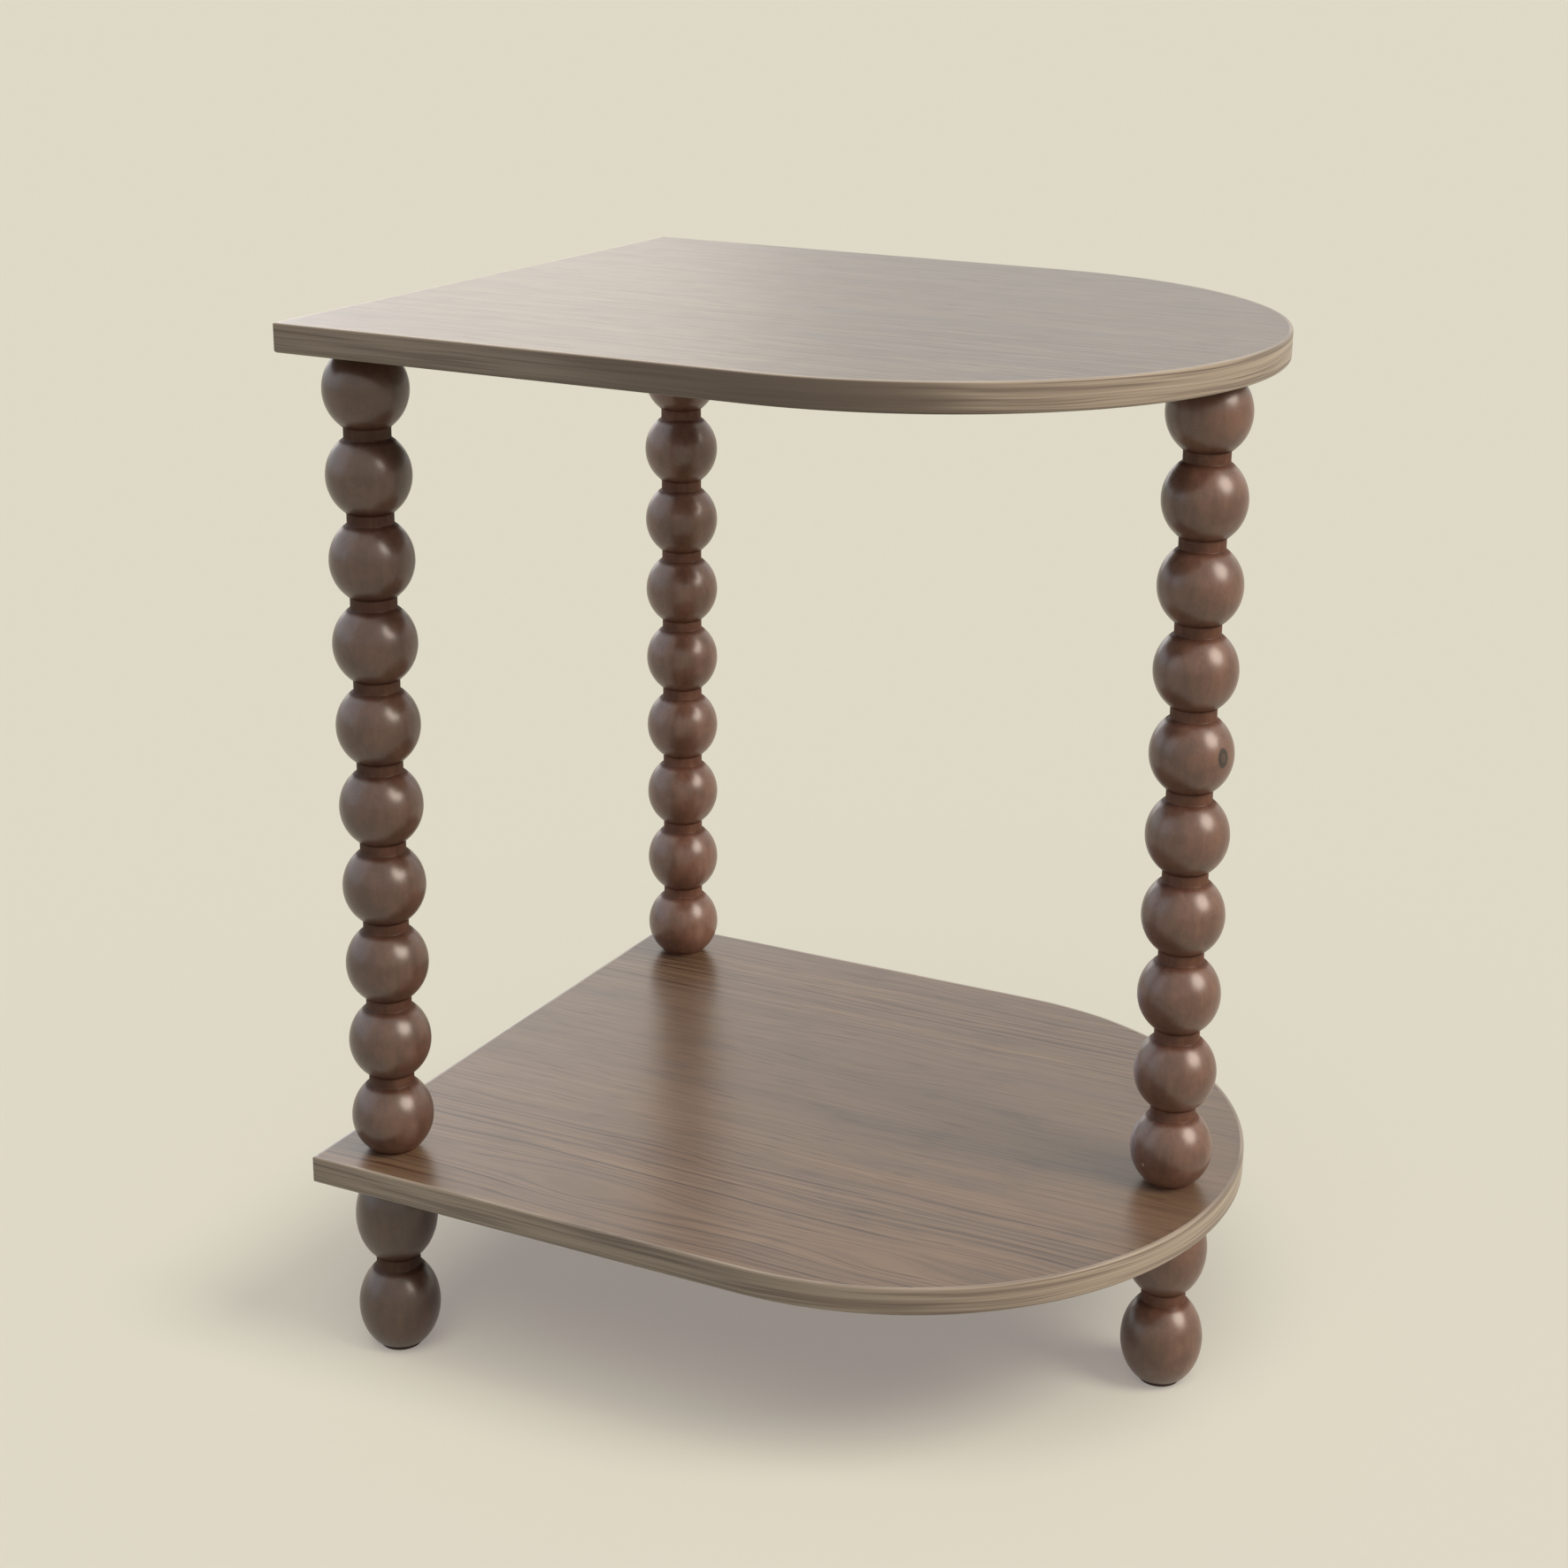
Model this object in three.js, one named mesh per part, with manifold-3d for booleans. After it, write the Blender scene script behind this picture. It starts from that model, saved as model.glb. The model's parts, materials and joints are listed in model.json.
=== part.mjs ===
// Side table with one rounded end: two wood-effect boards, three beaded posts between them and three turned feet.
// Millimetres, +Z up. The origin is on the floor under the middle of the top.
// +X points to the rounded end and -Y to the front. The table mirrors about the plane y = 0.
import * as THREE from "three";
import { mergeVertices } from "three/addons/utils/BufferGeometryUtils.js";
import Module from "manifold-3d";

const wasm = await Module();
wasm.setup();

// Boards, top and shelf alike: the overall size includes the edging
const boardLength = 450;
const boardWidth = 380;
const boardThickness = 15;
const bandThickness = 2;
const topEdgeRadius = 1;
const bottomEdgeRadius = 1.8;

// Leg axes, measured in from the outside of the edging
const endInset = 31;
const sideInset = 31.7;
const roundInset = 31.5;

// Posts: beads on a straight spindle, with a short collar between each two and a flat seat at both ends
const beadCount = 10;
const beadPitch = 44;
const beadDiameter = 43.6;
const neckDiameter = 24;
const collarHeight = 5.7;
const seatHeight = 0.5;

// Feet: two longer beads, the lower one cut flat where it stands on its pad
const footBeadDiameter = 44.4;
const upperFootBeadLength = 49.1;
const footCollarHeight = 6.4;
const lowerFootBeadLength = 46.9;

// Hanger bolts, the threaded inserts that they screw into, and their holes
const boltDiameter = 8;
const boltWoodLength = 30;
const boltTipLength = 7;
const boltTipDiameter = 2.4;
const boltChamfer = 0.8;
const boltShortfall = 2;
const insertWall = 2;
const insertFlangeRim = 2;
const insertFlangeThickness = 1.5;
const insertCover = 3;
const shelfHoleClearance = 0.5;

// Thin rubber pads glued under the feet, a little smaller than the flat that they cover
const padDiameter = 22.4;
const padThickness = 1.2;
const padChamfer = 0.3;
const padSetback = 0.4;

// Fits: round a shank in its hole, past its end, and the film of lacquer or glue between two flat seats
const holeGap = 0.3;
const endGap = 0.5;
const seatGap = 0.05;

// How far a cutter runs past the face that it opens
const cutOverrun = 1;

// Fineness of the round shapes
const turnedSides = 20;
const beadSteps = 6;
const hardwareSides = 12;
const roundEndSteps = 96;
const edgeSteps = 2;

// Sizes that follow
const halfLength = boardLength / 2;
const halfWidth = boardWidth / 2;
const straightLength = boardLength - halfWidth;
const roundCentreX = straightLength - halfLength;
const neckRadius = neckDiameter / 2;
const beadLength = beadPitch - collarHeight;
const postHeight = 2 * seatHeight + (beadCount - 1) * beadPitch + beadLength;
const padRadius = padDiameter / 2;
const footBottomRadius = padRadius + padSetback;
const footHeight = lowerFootBeadLength + footCollarHeight + upperFootBeadLength;
const boltRadius = boltDiameter / 2;
const boltHoleRadius = boltRadius + holeGap;
const insertRadius = boltHoleRadius + insertWall;
const insertFlangeRadius = insertRadius + insertFlangeRim;
const insertLength = boardThickness - insertCover;
const boltEngagement = insertLength - boltShortfall;

// Heights of the stack, from the floor up
const footZ = padThickness + seatGap;
const shelfZ = footZ + footHeight + seatGap;
const postZ = shelfZ + boardThickness + seatGap;
const topZ = postZ + postHeight + seatGap;

const legs = [
  { name: "front", x: endInset - halfLength, y: sideInset - halfWidth },
  { name: "back", x: endInset - halfLength, y: halfWidth - sideInset },
  { name: "round_end", x: halfLength - roundInset, y: 0 },
];

// Finishes
const finishes = {
  boardFace: { color: 0x7a6252, roughness: 0.35, metalness: 0 },
  edging: { color: 0x7b6a54, roughness: 0.4, metalness: 0 },
  turnedWood: { color: 0x5d4034, roughness: 0.35, metalness: 0 },
  brass: { color: 0xb59a62, roughness: 0.4, metalness: 1 },
  steel: { color: 0xa9abae, roughness: 0.35, metalness: 1 },
  rubber: { color: 0x3b2f29, roughness: 0.8, metalness: 0 },
};

// Turned pieces. A profile is a list of [radius, height], from the bottom of the axis round to its top.
function turned(profile, sides) {
  const points = profile.map(([radius, height]) => new THREE.Vector2(radius, height));
  return new THREE.LatheGeometry(points, sides).rotateX(Math.PI / 2);
}

// One bead: a stretched ball of the given radius, cut square where it has shrunk to the two end radii.
function bead(radius, length, lowerRadius, upperRadius, base) {
  const lowerAngle = Math.acos(lowerRadius / radius);
  const upperAngle = Math.acos(upperRadius / radius);
  const halfAxis = length / (Math.sin(lowerAngle) + Math.sin(upperAngle));
  const middle = base + halfAxis * Math.sin(lowerAngle);
  return Array.from({ length: beadSteps + 1 }, (_, step) => {
    const angle = -lowerAngle + ((lowerAngle + upperAngle) * step) / beadSteps;
    return [radius * Math.cos(angle), middle + halfAxis * Math.sin(angle)];
  });
}

// The stepped socket of an insert, from its closed end down to its mouth at the given height.
function insertSocket(mouth) {
  const end = insertLength + endGap;
  const step = insertFlangeThickness + seatGap;
  return [
    [0, end],
    [insertRadius + holeGap, end],
    [insertRadius + holeGap, step],
    [insertFlangeRadius + holeGap, step],
    [insertFlangeRadius + holeGap, mouth],
  ];
}

// The hole for a bolt's wood screw, from its mouth at the given height down to its closed end.
function boltHole(mouth) {
  const end = mouth - boltWoodLength - endGap;
  return [
    [boltHoleRadius, mouth],
    [boltHoleRadius, end],
    [0, end],
  ];
}

function postGeometry() {
  const beads = Array.from({ length: beadCount }, (_, index) =>
    bead(beadDiameter / 2, beadLength, neckRadius, neckRadius, seatHeight + index * beadPitch),
  );
  return turned(
    [
      ...insertSocket(0),
      [neckRadius, 0],
      ...beads.flat(),
      [neckRadius, postHeight],
      ...boltHole(postHeight),
    ],
    turnedSides,
  );
}

function footGeometry() {
  const radius = footBeadDiameter / 2;
  const upperBeadZ = lowerFootBeadLength + footCollarHeight;
  return turned(
    [
      [0, 0],
      ...bead(radius, lowerFootBeadLength, footBottomRadius, neckRadius, 0),
      ...bead(radius, upperFootBeadLength, neckRadius, neckRadius, upperBeadZ),
      ...boltHole(footHeight),
    ],
    turnedSides,
  );
}

// The insert's mouth is at height zero and its barrel stands above it.
function insertGeometry() {
  return turned(
    [
      [boltHoleRadius, 0],
      [insertFlangeRadius, 0],
      [insertFlangeRadius, insertFlangeThickness],
      [insertRadius, insertFlangeThickness],
      [insertRadius, insertLength],
      [boltHoleRadius, insertLength],
      [boltHoleRadius, 0],
    ],
    hardwareSides,
  );
}

// Height zero is where the bolt leaves the wood: the pointed wood screw is below it, the machine screw above.
function boltGeometry(machineLength) {
  return turned(
    [
      [0, -boltWoodLength],
      [boltTipDiameter / 2, -boltWoodLength],
      [boltRadius, boltTipLength - boltWoodLength],
      [boltRadius, machineLength - boltChamfer],
      [boltRadius - boltChamfer, machineLength],
      [0, machineLength],
    ],
    hardwareSides,
  );
}

function padGeometry() {
  return turned(
    [
      [0, 0],
      [padRadius - padChamfer, 0],
      [padRadius, padChamfer],
      [padRadius, padThickness],
      [0, padThickness],
    ],
    turnedSides,
  );
}

// Board outline in plan, from the front corner of the straight end, round the half circle, to the back corner.
// Each station has the corner of the core and the direction in which the edging is laid on it.
function sideStations(startX) {
  const side = halfWidth - bandThickness;
  const arc = Array.from({ length: roundEndSteps + 1 }, (_, step) => {
    const angle = (Math.PI * step) / roundEndSteps - Math.PI / 2;
    const out = new THREE.Vector2(Math.cos(angle), Math.sin(angle));
    return { at: new THREE.Vector2(roundCentreX + side * out.x, side * out.y), out };
  });
  return [
    { at: new THREE.Vector2(startX, -side), out: new THREE.Vector2(0, -1) },
    ...arc,
    { at: new THREE.Vector2(startX, side), out: new THREE.Vector2(0, 1) },
  ];
}

// The rounded edge of the edging: how far it is drawn in at each height, from the underside to the face.
function edgeLevels() {
  const quarter = Array.from({ length: edgeSteps + 1 }, (_, step) => (Math.PI / 2) * (step / edgeSteps));
  const lower = quarter.map((angle) => ({
    z: bottomEdgeRadius * (1 - Math.cos(angle)),
    inset: bottomEdgeRadius * (1 - Math.sin(angle)),
  }));
  const upper = quarter.map((angle) => ({
    z: boardThickness - topEdgeRadius * (1 - Math.sin(angle)),
    inset: topEdgeRadius * (1 - Math.cos(angle)),
  }));
  return [...lower, ...upper];
}

// A closed strip from rings of points: each ring goes up the outside and down the inside, level by level.
function stripGeometry(rings) {
  const ringSize = rings[0].length;
  const lastRing = (rings.length - 1) * ringSize;
  const index = [];
  const quad = (a, b, c, d) => index.push(a, b, c, a, c, d);
  for (let ring = 0; ring < lastRing; ring += ringSize) {
    for (let i = 0; i < ringSize; i += 1) {
      const next = (i + 1) % ringSize;
      quad(ring + i, ring + ringSize + i, ring + ringSize + next, ring + next);
    }
  }
  for (let level = 0; level < ringSize / 2 - 1; level += 1) {
    const inner = ringSize - 1 - level;
    quad(level, level + 1, inner - 1, inner);
    quad(lastRing + level, lastRing + inner, lastRing + inner - 1, lastRing + level + 1);
  }
  return new THREE.BufferGeometry()
    .setAttribute("position", new THREE.Float32BufferAttribute(rings.flat().flatMap((p) => p.toArray()), 3))
    .setIndex(index);
}

// The strip that goes along both sides and round the end. Its two ends are shaped like the end strip's face.
function sideBandGeometry() {
  const levels = edgeLevels();
  const stations = sideStations(-halfLength);
  const rings = stations.map(({ at, out }, station) => {
    const isEnd = station === 0 || station === stations.length - 1;
    const point = ({ z, inset }, depth) =>
      new THREE.Vector3(at.x + out.x * depth + (isEnd ? inset : 0), at.y + out.y * depth, z);
    const outside = levels.map((level) => point(level, bandThickness - level.inset));
    const inside = levels.map((level) => point(level, 0));
    return [...outside, ...inside.reverse()];
  });
  return stripGeometry(rings);
}

// The strip across the straight end, between the two ends of the side strip.
function endBandGeometry() {
  const levels = edgeLevels();
  const side = halfWidth - bandThickness;
  const rings = [side, -side].map((y) => {
    const outside = levels.map(({ z, inset }) => new THREE.Vector3(inset - halfLength, y, z));
    const inside = levels.map(({ z }) => new THREE.Vector3(bandThickness - halfLength, y, z));
    return [...outside, ...inside.reverse()];
  });
  return stripGeometry(rings);
}

function boardOutline() {
  return new THREE.Shape(sideStations(bandThickness - halfLength).map(({ at }) => at));
}

function slab(shape) {
  return new THREE.ExtrudeGeometry(shape, { depth: boardThickness, bevelEnabled: false, curveSegments: 1 });
}

// The shelf board has one plain hole for each foot's bolt.
function shelfBoardGeometry() {
  const outline = boardOutline();
  const radius = boltRadius + shelfHoleClearance;
  outline.holes = legs.map(({ x, y }) => {
    const corners = Array.from({ length: hardwareSides }, (_, step) => {
      const angle = (2 * Math.PI * step) / hardwareSides;
      return new THREE.Vector2(x + radius * Math.cos(angle), y + radius * Math.sin(angle));
    });
    return new THREE.Path(corners);
  });
  return slab(outline);
}

// The top board has a stepped blind socket for each insert, open at the underside.
function topBoardGeometry() {
  const cutter = turned([[0, -cutOverrun], ...insertSocket(-cutOverrun).reverse()], hardwareSides);
  const sockets = legs.map(({ x, y }) => solidOf(cutter.clone().translate(x, y, 0)));
  const board = sockets.reduce((solid, hole) => solid.subtract(hole), solidOf(slab(boardOutline())));
  return geometryOf(board);
}

function solidOf(geometry) {
  const bare = geometry.clone();
  bare.deleteAttribute("normal");
  bare.deleteAttribute("uv");
  const merged = mergeVertices(bare);
  return new wasm.Manifold(
    new wasm.Mesh({
      numProp: 3,
      vertProperties: merged.attributes.position.array,
      triVerts: new Uint32Array(merged.index.array),
    }),
  );
}

function geometryOf(solid) {
  const mesh = solid.getMesh();
  return new THREE.BufferGeometry()
    .setAttribute("position", new THREE.BufferAttribute(mesh.vertProperties, 3))
    .setIndex(new THREE.BufferAttribute(mesh.triVerts, 1));
}

const table = new THREE.Group();

function addPiece(group, name, geometry, finish, z = 0) {
  geometry.computeVertexNormals();
  const piece = new THREE.Mesh(geometry, new THREE.MeshStandardMaterial({ ...finish, flatShading: true }));
  piece.name = name;
  piece.position.z = z;
  group.add(piece);
}

// The top and the shelf, each with its two strips of edging
const boards = [
  { name: "top", z: topZ, core: topBoardGeometry() },
  { name: "shelf", z: shelfZ, core: shelfBoardGeometry() },
];
for (const { name, z, core } of boards) {
  const board = new THREE.Group();
  board.position.z = z;
  addPiece(board, `${name}_board`, core, finishes.boardFace);
  addPiece(board, `${name}_side_band`, sideBandGeometry(), finishes.edging);
  addPiece(board, `${name}_end_band`, endBandGeometry(), finishes.edging);
  table.add(board);
}

// The three legs: pad, foot and post, with what joins them to each other and to the boards
for (const { name, x, y } of legs) {
  const leg = new THREE.Group();
  leg.position.set(x, y, 0);
  addPiece(leg, `foot_pad_${name}`, padGeometry(), finishes.rubber);
  addPiece(leg, `foot_${name}`, footGeometry(), finishes.turnedWood, footZ);
  addPiece(leg, `shelf_bolt_${name}`, boltGeometry(boardThickness + boltEngagement), finishes.steel, shelfZ);
  addPiece(leg, `post_insert_${name}`, insertGeometry(), finishes.brass, postZ);
  addPiece(leg, `post_${name}`, postGeometry(), finishes.turnedWood, postZ);
  addPiece(leg, `top_bolt_${name}`, boltGeometry(boltEngagement), finishes.steel, topZ);
  addPiece(leg, `top_insert_${name}`, insertGeometry(), finishes.brass, topZ);
  table.add(leg);
}

export default table;
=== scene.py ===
"""Side table with one rounded end and three beaded legs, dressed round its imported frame.

Metres, +Z up. The origin is on the floor under the middle of the top, +X points to the rounded end
and -Y to the front. Each operator makes one group of pieces, and the last one makes the stage.
"""
import json
from math import acos, cos, pi, radians, sin

import bmesh
import bpy
from bpy.props import FloatProperty, FloatVectorProperty, IntProperty, PointerProperty
from mathutils import Matrix, Vector

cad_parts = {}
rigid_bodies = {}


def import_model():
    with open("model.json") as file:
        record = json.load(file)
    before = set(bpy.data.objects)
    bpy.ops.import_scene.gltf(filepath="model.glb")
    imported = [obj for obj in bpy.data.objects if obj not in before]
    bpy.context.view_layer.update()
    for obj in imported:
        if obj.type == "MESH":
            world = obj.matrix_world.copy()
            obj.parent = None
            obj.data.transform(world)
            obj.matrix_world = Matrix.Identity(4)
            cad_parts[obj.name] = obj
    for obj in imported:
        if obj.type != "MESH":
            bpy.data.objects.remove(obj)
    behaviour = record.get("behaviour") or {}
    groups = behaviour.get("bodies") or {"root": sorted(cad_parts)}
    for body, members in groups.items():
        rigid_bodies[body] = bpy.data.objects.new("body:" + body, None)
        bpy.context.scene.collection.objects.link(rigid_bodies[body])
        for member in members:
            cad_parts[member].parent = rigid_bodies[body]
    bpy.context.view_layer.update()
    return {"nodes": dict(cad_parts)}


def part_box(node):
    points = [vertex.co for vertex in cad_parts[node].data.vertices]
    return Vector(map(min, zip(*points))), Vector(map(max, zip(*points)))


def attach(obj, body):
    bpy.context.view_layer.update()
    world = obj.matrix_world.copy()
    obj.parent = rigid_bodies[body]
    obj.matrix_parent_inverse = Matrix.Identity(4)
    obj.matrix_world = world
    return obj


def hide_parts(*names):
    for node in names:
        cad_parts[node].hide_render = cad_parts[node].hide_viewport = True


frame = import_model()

bl_info = {
    "name": "Side table with beaded legs",
    "version": (1, 0, 0),
    "blender": (4, 5, 0),
    "location": "3D View > Sidebar > Side table",
    "description": "Makes the pieces of a side table with one rounded end and three beaded legs",
    "category": "Object",
}

BODY = "root"
MM = 0.001
LEGS = ("front", "back", "round_end")
BOARDS = ("top", "shelf")
NODES = frame["nodes"]
LOW_PIECES = ("shelf_", "turned_foot_", "rubber_pad_")
TURNED_PIECES = ("beaded_post_", "turned_foot_", "rubber_pad_")

# Sizes that the frame gives
TOP_LOW, TOP_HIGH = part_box("top_board")
POST_LOW, POST_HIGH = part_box("post_front")
FOOT_LOW, FOOT_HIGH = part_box("foot_front")
PAD_LOW, PAD_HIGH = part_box("foot_pad_front")
STRIP_LOW, STRIP_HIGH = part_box("top_side_band")
INSERT_LOW, INSERT_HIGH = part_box("post_insert_front")
BOLT_LOW, BOLT_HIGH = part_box("top_bolt_front")

# Fineness of the turned pieces and the strips, and the angle past which an edge is drawn sharp
TURNED_SIDES = 64
HOLE_SIDES = 32
BEAD_POINTS = 25
COLLAR_POINTS = 14
PAD_EDGE_STEPS = 4
ROUNDING_STEPS = 5
CREASE_ANGLE = radians(32)

# How long a lacquer fillet is against its rise
FILLET_STRETCH = 1.6

# Kinds of node that come up often, and the settings they mostly have
MATH = "ShaderNodeMath"
VECTOR = "ShaderNodeVectorMath"
RANGE = "ShaderNodeMapRange"
NOISE = "ShaderNodeTexNoise"
MIX = "ShaderNodeMix"
SOFT = {"interpolation_type": "SMOOTHSTEP"}
COLOURS = {"out": 2, "data_type": "RGBA"}

# Steps in the tables of sums that aren't plain operations of a Math node: the node and its settings
STEPS = {
    "ABOVE": ("FunctionNodeCompare", {"data_type": "FLOAT", "operation": "GREATER_THAN"}),
    "BELOW": ("FunctionNodeCompare", {"data_type": "FLOAT", "operation": "LESS_THAN"}),
    "CHOICE": ("GeometryNodeSwitch", {"input_type": "FLOAT"}),
    "REST": (MATH, {"operation": "SUBTRACT", "use_clamp": True}),
}


def leg_axis(leg):
    """Where a leg stands, from its foot in the frame."""
    low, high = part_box(f"foot_{leg}")
    return Vector(((low.x + high.x) / 2, (low.y + high.y) / 2, 0))


def linear(code):
    """An sRGB hex colour as linear red, green and blue."""
    shares = [int(code[place : place + 2], 16) / 255 for place in (1, 3, 5)]
    return [share / 12.92 if share <= 0.04045 else ((share + 0.055) / 1.055) ** 2.4 for share in shares]


def per(millimetres):
    """The texture scale at which one feature of a pattern is that many millimetres wide."""
    return 1 / (millimetres * MM)


def opaque(tone):
    """Red, green and blue with the fourth number that a colour input takes."""
    return (*tone, 1)


def set_inputs(tree, node, inputs):
    """Gives a node its inputs, by name or in order. Each is a value or another node's output."""
    for key, value in inputs.items() if isinstance(inputs, dict) else enumerate(inputs):
        if isinstance(value, bpy.types.NodeSocket):
            tree.links.new(value, node.inputs[key])
        else:
            node.inputs[key].default_value = value


def add(tree, kind, inputs=(), out=0, **settings):
    """Adds a node with its inputs and settings to a tree, and gives one of its outputs back."""
    made = tree.nodes.new(kind)
    for name, value in settings.items():
        setattr(made, name, value)
    set_inputs(tree, made, inputs)
    return made.outputs[out] if len(made.outputs) else made


def length(name, description, default):
    kind = {"unit": "LENGTH", "precision": 5}
    return FloatProperty(name=name, description=description, default=default, min=0, **kind)


def colour(name, description, code):
    tone = linear(code)
    return FloatVectorProperty(name=name, description=description, default=tone, size=3, subtype="COLOR")


def share(name, description, default):
    kind = {"min": 0, "max": 1, "subtype": "FACTOR"}
    return FloatProperty(name=name, description=description, default=default, **kind)


def strength(name, description, default):
    return FloatProperty(name=name, description=description, default=default, min=0)


class SideTableBoards(bpy.types.PropertyGroup):
    """The printed faces of the top and the shelf."""
    ground: colour("Ground", "Pale wood between the grain lines", "#907459")
    latewood: colour("Grain lines", "Dark lines of the growth rings", "#553e2e")
    shadow: colour("Broad bands", "Darker bands and smudges", "#68574b")
    line_pitch: length("Line pitch", "Distance between strong grain lines", 5.4 * MM)
    streak_pitch: length("Streak pitch", "Distance between fine streaks", 2.1 * MM)
    streak_run: length("Streak run", "Length of a fine streak along the grain", 100 * MM)
    pore_length: length("Pore length", "Length of a pore along the grain", 26 * MM)
    pore_width: length("Pore width", "Width of a pore", 2.4 * MM)
    gloss: share("Roughness", "Roughness of the melamine face", 0.3)


class SideTableEdging(bpy.types.PropertyGroup):
    """The strips round the boards."""
    thickness: length("Thickness", "Thickness of the strip", 2 * MM)
    face_radius: length("Face edge radius", "Rounding along the face of the board", 1 * MM)
    underside_radius: length("Underside edge radius", "Rounding along the underside", 1.8 * MM)
    corner_radius: length("Corner radius", "Rounding of the upright corners", 0.6 * MM)
    round_steps: IntProperty(name="Steps round the end", description="Steps in the half circle", default=96)
    ground: colour("Ground", "Pale wood between the grain lines", "#c0b09c")
    latewood: colour("Grain lines", "Dark lines along the strip", "#6e5f54")
    # The body colour is drawn along the face edge of a strip as a painted highlight
    body: colour("Body", "Bare plastic where the strip's edge is trimmed", "#dccdb6")
    line_pitch: length("Line pitch", "Distance between grain lines", 2.6 * MM)
    line_run: length("Line run", "Length of a grain line along the strip", 130 * MM)
    gloss: share("Roughness", "Roughness of the strip", 0.38)


class SideTableLegs(bpy.types.PropertyGroup):
    """The turned posts and feet with their pads and fasteners."""
    bead_count: IntProperty(name="Beads", description="Beads on one post", default=10, min=1)
    bead_diameter: length("Bead diameter", "Diameter of a bead of a post", POST_HIGH.x - POST_LOW.x)
    neck_diameter: length("Neck diameter", "Diameter of the collars and seats", 24 * MM)
    collar_height: length("Collar height", "Height of a collar between two beads", 5.7 * MM)
    seat_height: length("Seat height", "Height of the flat seat at both ends of a post", 0.5 * MM)
    fillet_rise: length("Fillet rise", "How far lacquer fills the corner of a collar", 0.45 * MM)
    foot_bead_diameter: length("Foot bead diameter", "Diameter of a foot's beads", FOOT_HIGH.x - FOOT_LOW.x)
    foot_collar_height: length("Foot collar height", "Height of the collar of a foot", 6.4 * MM)
    lower_bead_length: length("Lower bead length", "Length of the bead that stands on the pad", 46.9 * MM)
    sole_diameter: length("Sole diameter", "Diameter of the flat under the lower bead", 23.2 * MM)
    sole_radius: length("Sole edge radius", "Rounding round the flat under the lower bead", 0.6 * MM)
    pad_radius: length("Pad edge radius", "Rounding at the lower edge of the pad", 0.4 * MM)
    hole_gap: length("Hole gap", "Clearance round bolts and inserts in the wood", 0.3 * MM)
    hole_end_gap: length("Hole end gap", "Clearance past the end of bolts and inserts", 0.5 * MM)
    flange_thickness: length("Flange thickness", "Thickness of an insert's flange", 1.5 * MM)
    flange_rim: length("Flange rim", "How far an insert's flange stands out from its barrel", 2 * MM)
    stain: colour("Stain", "Stained wood where it is darkest", "#5c3f32")
    stain_pale: colour("Pale stain", "Stained wood where it took less stain", "#835f4e")
    # This colour is also the painted shade in the grooves
    groove_stain_and_shade: colour("Deep stain", "Stained wood where the stain gathers", "#381c12")
    knot: colour("Knot", "The dark wood of a knot", "#2b1d16")
    bare: colour("Bare wood", "Wood that shows in a chip", "#c9ac8a")
    grain_pitch: length("Grain pitch", "Distance between growth layers", 5 * MM)
    blotch: length("Blotch size", "Size of the patches in the stain", 16 * MM)
    # The darker stain of a groove is partly painted shade
    groove_reach: length("Groove reach", "How far out of a groove its darker stain reaches", 5 * MM)
    gloss: share("Roughness", "Roughness of the lacquer", 0.3)


class SideTableStage(bpy.types.PropertyGroup):
    """The floor, the light and the camera."""
    backdrop: colour("Backdrop", "Colour of the floor and what is behind it", "#dfdac7")
    sky: strength("Sky light", "Light from all sides", 0.15)
    key: strength("Key light", "Broad light from the rounded end", 2.3)
    dome: strength("Dome light", "Even light on the table from above", 0.7)
    side: strength("Side light", "Soft light on the boards from behind on the left", 1.2)
    window: strength("Window light", "Low light from behind on the left", 0.29)
    left: strength("Left light", "Wide soft light on the legs from the left", 1.1)
    back: strength("Back light", "Wide soft light from behind", 0.35)
    floor: strength("Floor light", "Light on the floor alone", 1.08)
    floor_side: strength("Floor side light", "Softer light on the floor alone", 1.0)
    floor_fill: strength("Floor fill", "Light in the floor's shadow", 1.16)
    bounce: share("Floor bounce", "How much of its light the floor throws back on the table", 0.4)
    focal_length: FloatProperty(name="Focal length", description="Focal length in mm", default=62.2)


def finish(name):
    """A new material with a bare Principled shader. Gives the material, its tree and the shader."""
    material = bpy.data.materials.new(name)
    material.use_nodes = True
    return material, material.node_tree, material.node_tree.nodes["Principled BSDF"]


def curve_of(tree, value, pairs):
    """A smooth curve through pairs of shares, read at a value."""
    curve = tree.nodes.new("ShaderNodeFloatCurve")
    tree.links.new(value, curve.inputs["Value"])
    points = curve.mapping.curves[0].points
    points[0].location, points[1].location = pairs[0], pairs[-1]
    for pair in pairs[1:-1]:
        points.new(*pair)
    curve.mapping.update()
    return curve.outputs[0]


# Knots and swirls in the printed faces: the middle along and across the board, the reach along
# and across the grain, and how strongly the lines swing round them, all lengths in millimetres
FIGURES = {
    "top": [(80, -80, 60, 16, 0.9), (-40, 120, 90, 30, 0.5)],
    "shelf": [
        (-75, -152, 44, 13, 1.2),
        (95, -152, 38, 12, 1.1),
        (-113, 17, 14, 5, 1.8),
        (-25, 62, 50, 26, 0.7),
        (110, 40, 80, 30, 0.5),
    ],
}

# How much of its swing a figure has left one reach away from its middle
SWING_SHARE = 0.37

# How the lines wander everywhere else, slowly and quickly: the run along the board, the pitch across it and
# how far they go, in millimetres
WANDERS = ((210, 60, 16), (50, 14, 1.5))

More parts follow.
